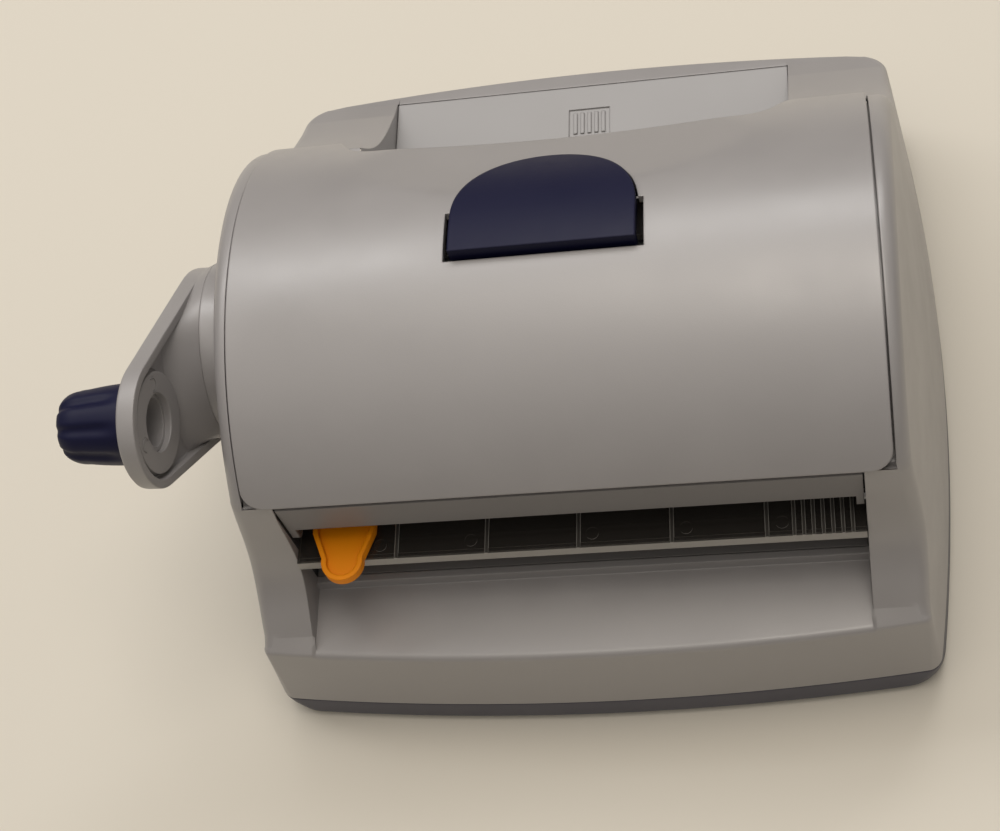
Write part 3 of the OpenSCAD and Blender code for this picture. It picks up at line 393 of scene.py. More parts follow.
# the lip round the pocket falls outward at this rate
LIP_FALL = 0.22
exit_xs = [RECESS_X * k / 14 for k in range(15)]
corner_xs = [RECESS_X + 1.0, 84.0, 88.0]
for x in exit_xs:
    add_column(exit_station(x), RIDGE_Z, FLAT, 2.0, "ramp")
for x in corner_xs:
    add_column(exit_station(x), RIDGE_Z, SLOPE, 2.0, "shoulder")
n_exit = (EXIT_CORNER - EXIT_C).normalized()
n_side = (EXIT_CORNER - SIDE_C).normalized()
slope_rise = -SLOPE.y / SLOPE.z
exit_corner = arc_stations(EXIT_CORNER, EXIT_CORNER_R, n_exit, n_side, END_LEAN, SIDE_LEAN, 8)
for k, station in enumerate(exit_corner):
    ridge_y = exit_station(station[0].x)[0].y + END_LEAN * (RIDGE_Z - SEAM_Z)
    rise = max(0.0, wall_point(station, RIDGE_Z).y - ridge_y) * slope_rise
    add_column(station, RIDGE_Z + rise, SLOPE, 2.0 + 0.2 * k, "shoulder")
for p, n in zip(shoulder[1:], shoulder_n[1:]):
    add_column(side_at(p), p.y, n, 3.8, "exit cheek")
for p in arch:
    a = Vector((0.0, p.x - ARCH_Y, p.y - ARCH_Z)).normalized()
    add_column(side_at(p), p.y, a, 4.2, "arch")
for k, (p, n) in enumerate(zip(wing, profile_normals(wing))):
    if p.x < 186.0:
        add_column(side_at(p), p.y, n, 4.2 - 1.6 * k / len(wing), "wing")
n_feed = (FEED_CORNER - FEED_C).normalized()
n_back = (FEED_CORNER - SIDE_C).normalized()
LIP_N = Vector((0.0, LIP_FALL, 1.0)).normalized()
wing_slope = (POCKET_Z - wing[-3].y) / (LIP_Y - wing[-3].x)
for station in arc_stations(FEED_CORNER, FEED_CORNER_R, n_back, n_feed, SIDE_LEAN, END_LEAN, 12):
    y = wall_point(station, POCKET_Z).y
    on_wing = y < LIP_Y
    z = POCKET_Z + (y - LIP_Y) * (wing_slope if on_wing else -LIP_FALL)
    roof_n = Vector((0.0, -wing_slope, 1.0)).normalized() if on_wing else LIP_N
    add_column(station, z, roof_n, 2.2, "wing" if on_wing else "lip")
feed_xs = [HALF_W - FEED_CORNER_R, 78.0, 72.0, POCKET_X] + [POCKET_X * (1 - k / 11) for k in range(1, 12)]
for x in feed_xs:
    y = wall_point(feed_station(x), POCKET_Z).y
    add_column(feed_station(x), POCKET_Z - (y - LIP_Y) * LIP_FALL, LIP_N, 1.6, "lip")
print("columns:", len(columns))

# %% Weave the columns, then run each roof row inward
bm = bmesh.new()


def vert(p):
    return bm.verts.new((p.x, p.y, p.z))


def weave(rows):
    """Quads between neighbouring rows of points."""
    made = [[vert(p) for p in row] for row in rows]
    for a, b in zip(made, made[1:]):
        for k in range(len(a) - 1):
            bm.faces.new([a[k], a[k + 1], b[k + 1], b[k]])


weave([c["points"] for c in columns])


def row(p, x_in, count=6, drop=0.0):
    """Points from a fillet's end inward to x_in, then straight down by drop."""
    inward = [Vector((p.x + (x_in - p.x) * k / count, p.y, p.z)) for k in range(count + 1)]
    return inward + ([Vector((x_in, p.y, p.z - drop))] if drop else [])


# %% Ramp, shoulder and cheek on the exit side
ends = {}
for c in columns:
    ends.setdefault(c["kind"], []).append(c["end"])
STEP_Y, FLOOR_Z, BAY_Y = 22.4, 45.0, 25.2
# ramp, its inner step and the wall behind it
ramp_end = ends["ramp"][-1]
ramp_rows = ends["ramp"] + [Vector((RECESS_X + 0.05, ramp_end.y, ramp_end.z))]
step_and_wall = ((STEP_Y + 0.6, FLOOR_Z), (BAY_Y, FLOOR_Z), (BAY_Y, SEAM_Z))
weave([[p.lerp(Vector((p.x, STEP_Y, RIDGE_Z)), t / 6) for t in range(7)]
       + [Vector((p.x, y, z)) for y, z in step_and_wall] for p in ramp_rows])
# shoulder, between the exit edge and the first row of the cheek
first = ends["exit cheek"][0]
border = [ramp_end] + ends["shoulder"]
weave([[p.lerp(Vector((min(p.x, first.x), first.y, first.z)), t / 3) for t in range(4)] for p in border])
# cheek beside the exit, with the recess's side wall
WALL_FOOT = RIDGE_Z - 0.5
cheek = [first] + ends["exit cheek"]
weave([row(p, RECESS_X, drop=p.z - WALL_FOOT if p.y < STEP_Y + 3 else 10.0) for p in cheek])
weave([[Vector((RECESS_X, ramp_end.y, z)) for z in (RIDGE_Z, WALL_FOOT)],
       [Vector((RECESS_X, first.y, z)) for z in (first.z, WALL_FOOT)]])
print("exit side:", len(bm.faces), "faces")

# %% Rim beside the cover, the deck below it and the wings
FRAME_X, DECK_X, RIM_SINK = 82.6, RIM_X + 0.2, 0.03
middle = Vector((0.0, ARCH_Y, ARCH_Z))
weave([row(p, RIM_X, count=3) + [Vector((RIM_X, *(p.lerp(middle, RIM_SINK).yz)))] for p in ends["arch"]])
exit_step = [arch_point(r, -EXIT_ANGLE) for r in (DECK_R - 3, DECK_R, CHEEK_R)]
weave([[Vector((x, p.x, p.y)) for p in exit_step] for x in (RECESS_X, FRAME_X, DECK_X)])
deck = [arch_point(DECK_R, -EXIT_ANGLE + (EXIT_ANGLE + FEED_ANGLE) * k / 72) for k in range(73)]
deck_edge = ((DECK_X, 0.0), (FRAME_X, 0.0), (FRAME_X, 4.0))
weave([[Vector((x, p.x, p.y - low)) for x, low in deck_edge] for p in deck])
# wing beside the pocket
weave([row(p, POCKET_X, drop=max(0.5, p.z - 38.0)) for p in ends["wing"]])
top = ends["wing"][0]
under_cover = [arch_point(DECK_R - 0.3, FEED_ANGLE - math.radians(a)) for a in (1, 3, 6, 10, 14)]
below = [top.yz] + under_cover + [Vector((under_cover[-1].x, 60.0))]
weave([[Vector((x, p.x, p.y)) for p in below] for x in (POCKET_X, 72.0, RECESS_X, 88.0)])
# lip round the pocket's outer edge
last, lip = ends["wing"][-1], ends["lip"]
brink = ((LIP_Y, POCKET_Z), (LIP_Y - 1.0, POCKET_Z + 0.1), (LIP_Y - 1.0, 38.0))
weave([[p] + [Vector((p.x, y, z)) for y, z in brink] for p in lip if p.x <= POCKET_X + 0.5])
beside_wing = [last] + [p for p in lip if p.x > POCKET_X - 0.5]
weave([[p, Vector((min(p.x, last.x), last.y, last.z))] for p in beside_wing])
print("half of the housing:", len(bm.faces), "faces")

# %% Mirror to the crank side, join, bevel the crisp inner edges
half_geometry = bm.verts[:] + bm.edges[:] + bm.faces[:]
copy = bmesh.ops.duplicate(bm, geom=half_geometry)["geom"]
new_verts = [g for g in copy if isinstance(g, bmesh.types.BMVert)]
bmesh.ops.scale(bm, vec=(-1, 1, 1), verts=new_verts)
bmesh.ops.reverse_faces(bm, faces=[g for g in copy if isinstance(g, bmesh.types.BMFace)])
bmesh.ops.remove_doubles(bm, verts=bm.verts, dist=0.02)
bmesh.ops.recalc_face_normals(bm, faces=bm.faces)


def finish_mesh(name, bm, slot, body="body", bevel=0.0, angle=35.0):
    """Turn millimetres in the CAD's drawing frame into an object in the row frame, with its look."""
    bmesh.ops.transform(bm, matrix=Matrix.Translation(SHIFT) @ Matrix.Scale(MM, 4), verts=bm.verts)
    mesh = bpy.data.meshes.new(name)
    bm.to_mesh(mesh)
    bm.free()
    obj = bpy.data.objects.new(name, mesh)
    bpy.context.scene.collection.objects.link(obj)
    mesh.materials.append(looks[slot])
    mesh.shade_smooth()
    if bevel:
        mod = obj.modifiers.new("bevel", "BEVEL")
        mod.width = bevel * MM
        mod.segments = 3
        mod.limit_method = "ANGLE"
        mod.angle_limit = math.radians(angle)
        mod.use_clamp_overlap = True
        mod.harden_normals = False
    else:
        mesh.set_sharp_from_angle(angle=math.radians(angle))
    level = obj.modifiers.new("flat faces stay flat", "WEIGHTED_NORMAL")
    level.keep_sharp = True
    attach(obj, body)
    return obj


housing_skin = finish_mesh("housing_skin", bm, "shell_grey", bevel=0.7)
print("housing skin:", len(housing_skin.data.polygons), "faces")


# %% Turned and lofted pieces
def close_weave(out, loops):
    """Quads between neighbouring closed loops of points."""
    made = [[out.verts.new(p) for p in loop] for loop in loops]
    for a, b in zip(made, made[1:]):
        for k in range(len(a)):
            out.faces.new([a[k], a[(k + 1) % len(a)], b[(k + 1) % len(b)], b[k]])
    return made


def lathe(profile, centre, steps=72, shape=None):
    """Turn (distance toward -X, radius) pairs about an X axis through centre (x, y, z)."""
    out = bmesh.new()
    loops = []
    for along, r in profile:
        loop = []
        for k in range(steps):
            a = 2 * math.pi * k / steps
            r_here = shape(along, r, a) if shape else r
            y, z = centre[1] + r_here * math.cos(a), centre[2] + r_here * math.sin(a)
            loop.append((centre[0] - along, y, z))
        loops.append(loop)
    close_weave(out, loops)
    bmesh.ops.remove_doubles(out, verts=out.verts, dist=0.001)
    bmesh.ops.recalc_face_normals(out, faces=out.faces)
    return out


CRANK = (83.3, 81.5)
HUB_R, HUB_X, COLLAR_R, COLLAR_X = 24.7, -100.64, 25.8, -100.6
collar_profile = [(-8.5, COLLAR_R), (0.0, COLLAR_R), (0.0, 6.5), (-6.0, 6.5)]
collar = finish_mesh("crank_collar", lathe(collar_profile, (COLLAR_X, *CRANK)), "shell_grey")
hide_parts("housing")
print("crank collar:", len(collar.data.polygons), "faces")


# %% [markdown]
# ## Sheets cut to an outline
# The cover, the pan's floor and the crank's flat faces are areas with holes. Each is cut in a plane by a
# constrained triangulation with evenly spaced points, and then lifted onto its surface.

# %% Cutting a sheet
def arc(centre, r, start, end, count=12):
    """Points of an arc in the plane, between two angles in degrees."""
    turns = [math.radians(start + (end - start) * k / count) for k in range(count + 1)]
    return [(centre[0] + r * math.cos(t), centre[1] + r * math.sin(t)) for t in turns]


def spaced(ring, step):
    """The same closed ring with its long edges divided."""
    out = []
    for a, b in zip(ring, ring[1:] + ring[:1]):
        n = max(1, round(math.dist(a, b) / step))
        out += [(a[0] + (b[0] - a[0]) * k / n, a[1] + (b[1] - a[1]) * k / n) for k in range(n)]
    return out


def inside(points, rings):
    """Which points lie inside an odd number of rings."""
    odd = np.zeros(len(points), bool)
    for ring in rings:
        for (x0, y0), (x1, y1) in zip(ring, ring[1:] + ring[:1]):
            if y0 != y1:
                crosses = (y0 > points[:, 1]) != (y1 > points[:, 1])
                odd ^= crosses & (points[:, 0] < x0 + (points[:, 1] - y0) * (x1 - x0) / (y1 - y0))
    return odd


def clear_of(points, rings, gap):
    """Which points are farther than gap from every ring."""
    free = np.ones(len(points), bool)
    for ring in rings:
        for a, b in zip(ring, ring[1:] + ring[:1]):
            a, b = np.array(a), np.array(b)
            t = np.clip(((points - a) @ (b - a)) / ((b - a) @ (b - a)), 0, 1)
            free &= np.linalg.norm(points - a - t[:, None] * (b - a), axis=1) > gap
    return free


def cut_sheet(rings, step):
    """Points and triangles that fill the area between an outer ring and its holes."""
    rings = [spaced(ring, step) for ring in rings]
    low, high = np.min(rings[0], axis=0), np.max(rings[0], axis=0)
    counts = np.maximum(1, np.round((high - low) / step).astype(int))
    xs, ys = (np.linspace(low[k], high[k], counts[k] + 1)[1:-1] for k in (0, 1))
    grid = np.array([(x, y) for x in xs for y in ys])
    if len(grid):
        grid = grid[inside(grid, rings) & clear_of(grid, rings, step * 0.55)]
    points, edges = [], []
    for ring in rings:
        first = len(points)
        edges += [(first + k, first + (k + 1) % len(ring)) for k in range(len(ring))]
        points += ring
    points += [tuple(p) for p in grid]
    found, _, faces = delaunay_2d_cdt([Vector(p) for p in points], edges, [], 0, 1e-5)[:3]
    centres = np.array([[sum(found[i][k] for i in face) / 3 for k in (0, 1)] for face in faces])
    return [tuple(p) for p in found], [face for face, keep in zip(faces, inside(centres, rings)) if keep]


def add_sheet(out, sheet, lift):
    points, faces = sheet
    made = [out.verts.new(lift(*p)) for p in points]
    for face in faces:
        out.faces.new([made[i] for i in face])
    return made


def add_slab(out, sheet, top, under):
    """A closed slab between two lifts of one sheet."""
    upper, lower = add_sheet(out, sheet, top), add_sheet(out, sheet, under)
    edges = {}
    for face in sheet[1]:
        for a, b in zip(face, face[1:] + face[:1]):
            key = (min(a, b), max(a, b))
            edges[key] = edges.get(key, 0) + 1
    for (a, b), uses in edges.items():
        if uses == 1:
            out.faces.new([upper[a], upper[b], lower[b], lower[a]])


# %% [markdown]
# ## The cover's skin
# The cover is a sheet bent over the arch. A wide trough, falling toward the feed, thins it in front of the
# notch. A soft minimum of arch and trough gives the crease between them its small radius.

# %% Cover
COVER_R, COVER_HALF, COVER_T, COVER_CORNER = 75.8, 87.7, 2.5, 6.0
TROUGH_R, TROUGH_TILT, TROUGH_Y, TROUGH_Z = 520.0, math.radians(29.0), 103.0, 119.7
BUTTON_HALF, BUTTON_Y, BUTTON_ARC_Y = 25.3, 82.5, 95.2


def along_arch(y):
    return COVER_R * math.asin((y - ARCH_Y) / COVER_R)


def cover_top(x, s):
    a = s / COVER_R
    y, z = ARCH_Y + COVER_R * math.sin(a), ARCH_Z + COVER_R * math.cos(a)
    if y > 90.0:
        rise = TROUGH_R - math.sqrt(TROUGH_R**2 - x * x)
        trough = TROUGH_Z - (y - TROUGH_Y) * math.tan(TROUGH_TILT) + rise / math.cos(TROUGH_TILT)
        gap = z - trough
        z -= (gap + math.sqrt(gap * gap + 0.3**2)) / 2
    return x, y, z


def cover_under(x, s):
    a, r = s / COVER_R, COVER_R - COVER_T
    y, z = ARCH_Y + r * math.sin(a), ARCH_Z + r * math.cos(a)
    return x, y, min(z, cover_top(x, s)[2] - 1.2)


def notch_side(sign):
    """Right or left side of the notch, from the feed edge to its top."""
    a, b, c = (62.5, 136.5), (59.5, 131.5), (52.0, 131.5)
    out = [(72.0 * sign, S_FEED)]
    for k in range(9):
        t = k / 8
        x, y = (a[i] * (1 - t) ** 2 + 2 * b[i] * t * (1 - t) + c[i] * t * t for i in (0, 1))
        out.append((x * sign, along_arch(y)))
    return out


S_EXIT, S_FEED = -COVER_R * EXIT_ANGLE, COVER_R * math.radians(61.5)
outline = arc((-COVER_HALF + COVER_CORNER, S_EXIT + COVER_CORNER), COVER_CORNER, 180, 270)
outline += arc((COVER_HALF - COVER_CORNER, S_EXIT + COVER_CORNER), COVER_CORNER, 270, 360)
outline += [(COVER_HALF, S_FEED)] + notch_side(1) + notch_side(-1)[::-1] + [(-COVER_HALF, S_FEED)]
SLOT_HALF, SLOT_LOW, SLOT_TOP = BUTTON_HALF + 1.9, BUTTON_Y - 1, BUTTON_Y + 15
opening = [(-SLOT_HALF, SLOT_LOW), (SLOT_HALF, SLOT_LOW), (SLOT_HALF, SLOT_TOP)]
opening += arc((0.0, BUTTON_ARC_Y), BUTTON_HALF + 0.6, 5.2, 174.8, 40) + [(-SLOT_HALF, SLOT_TOP)]
opening = [(x, along_arch(y)) for x, y in opening]
out = bmesh.new()
add_slab(out, cut_sheet([outline, opening], 1.7), cover_top, cover_under)
bmesh.ops.recalc_face_normals(out, faces=out.faces)
cover_skin = finish_mesh("cover_skin", out, "shell_grey", body="cover", angle=40.0)
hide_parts("cover_shell")
print("cover skin:", len(cover_skin.data.polygons), "faces")


# %% [markdown]
# ## The base pan's skin
# The pan follows the same path as the housing. Its wall leans out a little toward the table and turns under
# with a soft edge, and its floor has the four screw holes.

# %% Pan
PAN_TOP, PAN_LOW, PAN_FLARE, PAN_WALL = 11.7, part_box("base_pan")[0][2] / MM, 0.07, 2.5
PAN_FLOOR = PAN_LOW + 2.4


def pan_path(corner_r):
    """Points and normals round the pan, with a given radius at its exit corners."""
    corner = corner_centre(EXIT_C, EXIT_R - corner_r, SIDE_C, SIDE_R - corner_r, 1)
    n0, n1 = (corner - EXIT_C).normalized(), (corner - SIDE_C).normalized()
    edge_x = (corner + n0 * corner_r).x
    side_from, side_to = (corner + n1 * corner_r).y, FEED_CORNER.y + n_back.y * FEED_CORNER_R
    path = [exit_station(edge_x * k / 11)[:2] for k in range(12)]
    path += [st[:2] for st in arc_stations(corner, corner_r, n0, n1, 0, 0, 12)]
    path += [side_station(side_from + (side_to - side_from) * k / 30)[:2] for k in range(31)]
    path += [st[:2] for st in arc_stations(FEED_CORNER, FEED_CORNER_R, n_back, n_feed, 0, 0, 14)]
    path += [feed_station((HALF_W - FEED_CORNER_R) * (1 - k / 10))[:2] for k in range(11)]
    return path + [(Vector((-q.x, q.y)), Vector((-n.x, n.y))) for q, n in path[-2:0:-1]]


PATHS = {r: pan_path(r) for r in (5.0, 6.0, 7.5, 9.5, 12.0, 14.0)}


def pan_loop(outward, z, corner_r=5.0):
    return [(q.x + n.x * outward, q.y + n.y * outward, z) for q, n in PATHS[corner_r]]


def pan_wall(z, corner_r, inset=0.0):
    return pan_loop(PAN_FLARE * (PAN_TOP - z) - inset, z, corner_r)


out = bmesh.new()
rim = [(-PAN_WALL, PAN_FLOOR), (-PAN_WALL, PAN_TOP), (-0.4, PAN_TOP), (-0.1, PAN_TOP - 0.12)]
rim = [pan_loop(outward, z) for outward, z in rim]
wall_loops = [(PAN_TOP - 0.4, 5.0), (9.5, 6.0), (7.4, 7.5), (5.4, 9.5), (3.6, 12.0)]
wall_loops = [pan_wall(z, corner_r) for z, corner_r in wall_loops]
under = [pan_wall(2.9, 12.0, 0.15), pan_wall(2.45, 14.0, 0.5), pan_loop(-0.6, PAN_LOW, 14.0)]
close_weave(out, rim + wall_loops + under)
SCREW_PLACES = [(-88.0, 14.0), (88.0, 14.0), (-78.0, 187.0), (78.0, 187.0)]
holes = [arc(place, 3.0, 0, 345, 23) for place in SCREW_PLACES]
for outward, z, corner_r in ((-0.6, PAN_LOW, 14.0), (-PAN_WALL, PAN_FLOOR, 5.0)):
    ring = [(x, y) for x, y, _ in pan_loop(outward, z, corner_r)]
    add_sheet(out, cut_sheet([ring] + holes, 14.0), lambda x, y: (x, y, z))
for hole in holes:
    close_weave(out, [[(x, y, PAN_LOW) for x, y in hole], [(x, y, PAN_FLOOR) for x, y in hole]])
bmesh.ops.remove_doubles(out, verts=out.verts, dist=0.02)
bmesh.ops.recalc_face_normals(out, faces=out.faces)
pan_skin = finish_mesh("pan_skin", out, "pan_navy", angle=30.0)
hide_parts("base_pan")
print("pan skin:", len(pan_skin.data.polygons), "faces")


# %% [markdown]
# ## The crank and its knob
# The crank is a pan that is hollow toward the body. Its rim follows a band round two circles. The hub grows
# from the rim's larger end without a step and runs to the body, and a low boss carries the hollow post.

# %% Crank arm
KNOB_END_R, CRANK_LEN, RIM_D, PLATE_T, RIM_T = 18.1, 46.7, 5.4, 2.4, 2.6
ARM_FACE_X, ARM_TURN, ARM_SLANT = -108.9, math.radians(143.6), math.radians(4.3)
ARM_LEN = CRANK_LEN / math.cos(ARM_SLANT)
BOSS_R, POST_R = 14.2, 8.0
arm_frame = Matrix.Translation((ARM_FACE_X, *CRANK)) @ Matrix.Rotation(ARM_TURN, 4, "X")
arm_frame = arm_frame @ Matrix.Rotation(ARM_SLANT, 4, "Z")
TANGENT = math.acos((HUB_R - KNOB_END_R) / ARM_LEN)


def band(inset, hub_inset=None):
    """Outline round the knob's end and the hub, in the arm's own plane."""
    hub_inset = inset if hub_inset is None else hub_inset
    knob_end = [(KNOB_END_R - inset, -TANGENT + 2 * TANGENT * k / 36) for k in range(37)]
    hub_end = [(HUB_R - hub_inset, TANGENT + 2 * (math.pi - TANGENT) * k / 44) for k in range(45)]
    knob_end = [(ARM_LEN + r * math.cos(a), r * math.sin(a)) for r, a in knob_end]
    hub_end = [(r * math.cos(a), r * math.sin(a)) for r, a in hub_end]
    sides = []
    for p, q in ((knob_end[-1], hub_end[0]), (hub_end[-1], knob_end[0])):
        sides.append([(p[0] + (q[0] - p[0]) * k / 8, p[1] + (q[1] - p[1]) * k / 8) for k in range(1, 8)])
    return knob_end + sides[0] + hub_end + sides[1]


def in_arm(depth, ring):
    return [arm_frame @ Vector((depth, y, z)) for y, z in ring]


def circle(centre, r, steps=72):
    return arc(centre, r, 0, 360 - 360 / steps, steps - 1)


# %% Rim, faces and boss. A rim loop is its inset, its inset round the hub, and its depth behind the face
out = bmesh.new()
EDGE, STEP = 1.3, RIM_T + 0.9
rim_loops = [(EDGE, EDGE, 0.0), (0.6, 0.6, 0.14), (0.14, 0.14, 0.6), (0.0, 0.0, EDGE)]
rim_loops += [(0.0, 0.0, RIM_D - 0.5), (0.14, 0.0, RIM_D - 0.14), (0.5, 0.02, RIM_D)]
rim_loops += [(RIM_T - 0.3, 0.3, RIM_D), (RIM_T - 0.06, RIM_T, RIM_D - 0.1), (RIM_T, RIM_T, RIM_D - 0.4)]
rim_loops += [(RIM_T + 0.1, RIM_T, PLATE_T + 0.7), (RIM_T + 0.35, RIM_T, PLATE_T + 0.2)]
rim_loops.append((STEP, RIM_T, PLATE_T))
close_weave(out, [in_arm(depth, band(inset, hub_inset)) for inset, hub_inset, depth in rim_loops])
post_hole, screw_hole = circle((ARM_LEN, 0.0), POST_R + 0.05, 48), circle((0.0, 0.0), 5.0, 36)
for depth, rings in ((0.0, [band(EDGE), post_hole, screw_hole]), (PLATE_T, [band(STEP, RIM_T), post_hole])):
    add_sheet(out, cut_sheet(rings, 5.0), lambda y, z: arm_frame @ Vector((depth, y, z)))
SCREW_SEAT = 1.8
close_weave(out, [in_arm(depth, screw_hole) for depth in (0.0, SCREW_SEAT)]
            + [in_arm(SCREW_SEAT, circle((0.0, 0.0), 1.6, 36))])
BOSS_TOP = RIM_D - 0.7
boss_loops = [(BOSS_R + 0.7, PLATE_T - 0.02), (BOSS_R + 0.2, PLATE_T + 0.15), (BOSS_R, PLATE_T + 0.6)]
boss_loops += [(BOSS_R - 0.1, BOSS_TOP - 0.6), (BOSS_R - 0.2, BOSS_TOP - 0.15), (BOSS_R - 0.6, BOSS_TOP)]
boss_loops += [(POST_R + 0.5, BOSS_TOP), (POST_R + 0.15, BOSS_TOP - 0.1), (POST_R + 0.05, BOSS_TOP - 0.4)]
boss_loops.append((POST_R + 0.05, 0.0))
close_weave(out, [in_arm(depth, circle((ARM_LEN, 0.0), r)) for r, depth in boss_loops])
print("crank pan:", len(out.faces), "faces")

# %% Hub: its foot spreads over the plate as far as the rim and the boss, and its far side grows from the rim
turn = [2 * math.pi * k / 96 for k in range(96)]


def hub_loop(x, r):
    angles = [t + ARM_TURN for t in turn]
    return [Vector((x, CRANK[0] + r * math.cos(t), CRANK[1] + r * math.sin(t))) for t in angles]


def foot_radius(t):
    """How far the hub's foot reaches at angle t from the arm's middle line."""
    t = abs((t + math.pi) % (2 * math.pi) - math.pi)
    if t > TANGENT:
        return HUB_R - 0.2
    return min(34.0, max(HUB_R - 0.2, (HUB_R - 1.2) / math.cos(TANGENT - t)))


def polar(radii):
    return [(r * math.cos(t), r * math.sin(t)) for t, r in zip(turn, radii)]


foot_r = [foot_radius(t) for t in turn]
foot = in_arm(PLATE_T - 0.1, polar(foot_r))
waist = in_arm(RIM_D - 0.5, polar([HUB_R - 0.01 + 0.62 * (r - HUB_R + 0.2) for r in foot_r]))
end = hub_loop(HUB_X, COLLAR_R)
between = [[p.lerp(q, k / 6) for p, q in zip(waist, end)] for k in range(1, 7)]
low_waist = [[p.lerp(q, k / 3) for p, q in zip(foot, waist)] for k in range(4)]
close_weave(out, low_waist + between + [hub_loop(HUB_X, 20.5), hub_loop(-103.0, 20.5)])
print("with the hub:", len(out.faces), "faces")

# %% Two small raised arcs that the mould leaves on the boss
MARK_R, MARK_AT, MARK_WIRE, MARK_AXIS = 1.9, 10.8, 0.2, BOSS_TOP - 0.02
sides = [2 * math.pi * k / 8 for k in range(8)]
for middle, start_deg in ((262.0, 60.0), (8.0, 200.0)):
    at = math.radians(middle)
    centre = (ARM_LEN + MARK_AT * math.cos(at), MARK_AT * math.sin(at))
    rings = []
    for y, z in arc(centre, MARK_R, start_deg, start_deg + 230, 20):
        away = Vector((y - centre[0], z - centre[1])).normalized() * MARK_WIRE
        wire = [(MARK_AXIS + MARK_WIRE * math.sin(t), away * math.cos(t)) for t in sides]
        rings.append([arm_frame @ Vector((depth, y + off.x, z + off.y)) for depth, off in wire])
    ends_of = close_weave(out, rings)
    for ring in (ends_of[0], ends_of[-1]):
        out.faces.new(ring)
bmesh.ops.remove_doubles(out, verts=out.verts, dist=0.004)
bmesh.ops.recalc_face_normals(out, faces=out.faces)
crank_skin = finish_mesh("crank_skin", out, "crank_grey", body="crank", angle=32.0)
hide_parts("crank_arm")
print("crank skin:", len(crank_skin.data.polygons), "faces")


# %% Knob, with wide flutes that run out toward the crank
KNOB_R, FLUTES = 11.4, 8
KNOB_AXIS = (CRANK[0] + CRANK_LEN * math.cos(ARM_TURN), CRANK[1] + CRANK_LEN * math.sin(ARM_TURN))
KNOB_X = ARM_FACE_X - CRANK_LEN * math.tan(ARM_SLANT) - KNOB_R * math.sin(ARM_SLANT) - 0.4
KNOB_LEN = KNOB_X - (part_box("knob")[0][0] - SHIFT.x) / MM


def fluted(along, r, a):
    """The radius at an angle: a flute sinks in, deeper toward the outer end."""
    depth = 0.85 * min(1.0, max(0.0, (along - 2.0) / 5.0))
    wave = math.cos(FLUTES * (a + 0.2))
    return r - depth * max(0.0, wave) ** 1.4 * min(1.0, r / 8.0)


knob_profile = [(0.0, POST_R + 0.1), (0.0, KNOB_R - 0.5), (0.15, KNOB_R - 0.12), (0.6, KNOB_R)]
knob_profile += [(0.6 + k * 1.5, KNOB_R - 0.05 * k * k / 4) for k in range(1, 10)]
(top_from, top_r), end_round = knob_profile[-1], 4.0
for k in range(1, 11):
    t = math.pi / 2 * k / 10
    along = top_from + (KNOB_LEN - 0.4 - top_from) * math.sin(t)
    knob_profile.append((along, top_r - end_round + end_round * math.cos(t)))
knob_profile += [(KNOB_LEN - 0.12, top_r - end_round - 2.2), (KNOB_LEN, 0.0)]
turned = lathe(knob_profile, (KNOB_X, *KNOB_AXIS), steps=128, shape=fluted)
knob_skin = finish_mesh("knob_skin", turned, "button_navy", body="knob", angle=50.0)
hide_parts("knob")
print("knob skin:", len(knob_skin.data.polygons), "faces")


# %% [markdown]
# ## Ribs on the clear plate
# Moulded ribs show on a clear plate as pale lines. Here the paleness is a painted highlight: the base colour
# turns pale where a face is seen edge-on. Flat boxes would show nothing but their outline, so each rib gets a
# half-round bead along its top. Five ribs divide the width and seven fine ones stand at the end away from the
# crank. All end before the blade's slot.

# %% Half-round beads over the plate's ribs
RIB_FOOT, RIB_RISE, RIB_FRONT, RIB_BACK = 65.0, 0.68, 20.6, 31.8
RIB_PITCH, FINE_PITCH, FINE_FROM = 26.0, 2.63, 60.4
ribs = [(RIB_PITCH * i + 1.05, 0.62) for i in range(-2, 3)]
ribs += [(FINE_FROM + FINE_PITCH * i, 0.55) for i in range(7)]
half_turn = [math.pi * k / 8 for k in range(9)]
out = bmesh.new()
for x, half_w in ribs:
    section = [(x - half_w * math.cos(a), RIB_FOOT + RIB_RISE * math.sin(a)) for a in half_turn]
    ends = [[out.verts.new((px, y, pz)) for px, pz in section] for y in (RIB_FRONT, RIB_BACK)]
    for k in range(-1, 8):
        out.faces.new([ends[0][k], ends[0][k + 1], ends[1][k + 1], ends[1][k]])
    out.faces.new(ends[0])
    out.faces.new(ends[1])
bmesh.ops.recalc_face_normals(out, faces=out.faces)
guide_ribs = finish_mesh("guide_ribs", out, "clear_plastic", angle=50.0)
# the beads are opaque: their dark base colour stands in for the dark bay seen through them, partly painted
# shade, and their pale edge-on colour is a painted highlight
rib_look = clear_with_painted_shade_and_highlight("clear_plastic_rib", (0.050, 0.047, 0.043), (0.40, 0.385, 0.365), 0.16, see_through=0.0)
guide_ribs.data.materials[0] = rib_look
print("plate ribs:", len(ribs))


# %% [markdown]
# ## The table, the light and the camera
# A soft lamp overhead, a little to the feed side and the right, makes the shadows fall toward the exit. A
# wide lamp low on the feed side gives level faces and the cover's crest a sheen. A weak fill opens the
# recess.

# %% Table
bpy.ops.mesh.primitive_plane_add(size=14.0, location=(0.0, 0.0, 0.0))
table = bpy.context.object
table.name = "table_top"
mat, tree, shader = material("table_paper")
slow = noise(tree, 1.6, 2.0)
tree.links.new(tinted(tree, slow, (0.72, 0.68, 0.60), 0.04), shader.inputs["Base Color"])
shader.inputs["Roughness"].default_value = 0.75
shader.inputs["Specular IOR Level"].default_value = 0.2
table.data.materials.append(mat)


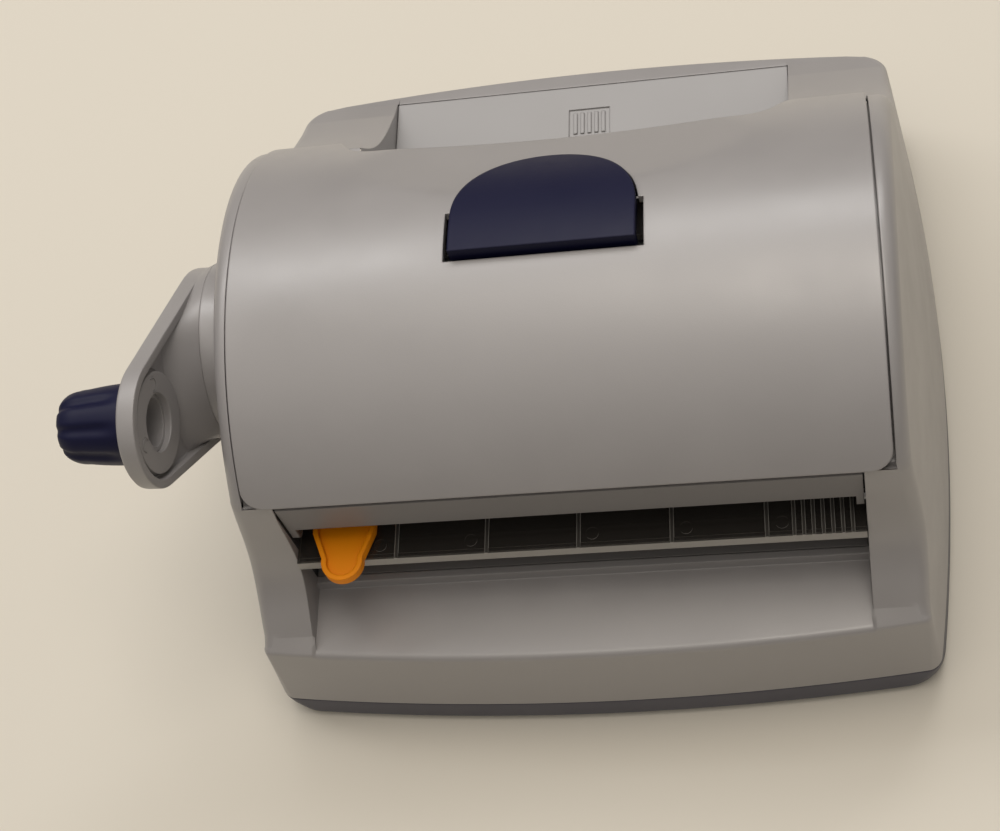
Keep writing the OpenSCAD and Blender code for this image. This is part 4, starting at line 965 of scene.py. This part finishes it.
# %% Lamps and surrounding light
def lamp(name, place, target, size, power, color):
    data = bpy.data.lights.new(name, "AREA")
    data.shape = "RECTANGLE"
    data.size, data.size_y = size
    data.energy = power
    data.color = color
    obj = bpy.data.objects.new(name, data)
    bpy.context.scene.collection.objects.link(obj)
    place = Vector(place)
    obj.matrix_world = (Vector(target) - place).to_track_quat("-Z", "Y").to_matrix().to_4x4()
    obj.location = place
    return obj


WARM = (1.0, 0.93, 0.84)
lamp("ceiling", (0.14, 0.10, 1.60), (0.0, 0.0, 0.05), (0.9, 0.6), 6.0, WARM)
lamp("sheen", (-0.30, 0.75, 1.35), (0.0, 0.0, 0.10), (2.2, 0.30), 12.0, (1.0, 0.985, 0.97))
lamp("fill", (-0.2, -0.45, 1.6), (0.0, 0.0, 0.0), (1.2, 1.2), 2.2, WARM)
# the room is brightest overhead and dim at the level of the table
world = bpy.data.worlds.new("room")
world.use_nodes = True
tree = world.node_tree
coord = tree.nodes.new("ShaderNodeTexCoord")
split = tree.nodes.new("ShaderNodeSeparateXYZ")
height = tree.nodes.new("ShaderNodeMapRange")
height.inputs["To Min"].default_value = 0.06
height.inputs["To Max"].default_value = 0.54
tree.links.new(coord.outputs["Generated"], split.inputs["Vector"])
tree.links.new(split.outputs["Z"], height.inputs["Value"])
tree.links.new(height.outputs["Result"], tree.nodes["Background"].inputs["Strength"])
tree.nodes["Background"].inputs["Color"].default_value = (1.0, 0.94, 0.86, 1.0)
bpy.context.scene.world = world
bpy.context.scene.view_settings.view_transform = "Standard"
bpy.context.scene.view_settings.look = "None"

# %% Camera
AZIMUTH, ELEVATION, ROLL = map(math.radians, (21.451, 60.104, -22.839))
DISTANCE = 0.584434
TARGET = Vector((-0.027376, 0.077304, 0.040)) + SHIFT
out_level = math.cos(ELEVATION)
back = Vector((math.sin(AZIMUTH) * out_level, -math.cos(AZIMUTH) * out_level, math.sin(ELEVATION)))
level = (-back).cross(Vector((0, 0, 1))).normalized()
upright = level.cross(-back)
right = level * math.cos(ROLL) + upright * math.sin(ROLL)
up = upright * math.cos(ROLL) - level * math.sin(ROLL)
camera = bpy.data.objects.new("camera", bpy.data.cameras.new("camera"))
bpy.context.scene.collection.objects.link(camera)
camera.matrix_world = Matrix((right, up, back)).transposed().to_4x4()
camera.location = TARGET + back * DISTANCE
camera.data.sensor_width = 36.0
camera.data.lens = 69.11
camera.data.clip_start = 0.01
bpy.context.scene.camera = camera
print("camera distance:", DISTANCE, "lens:", camera.data.lens)
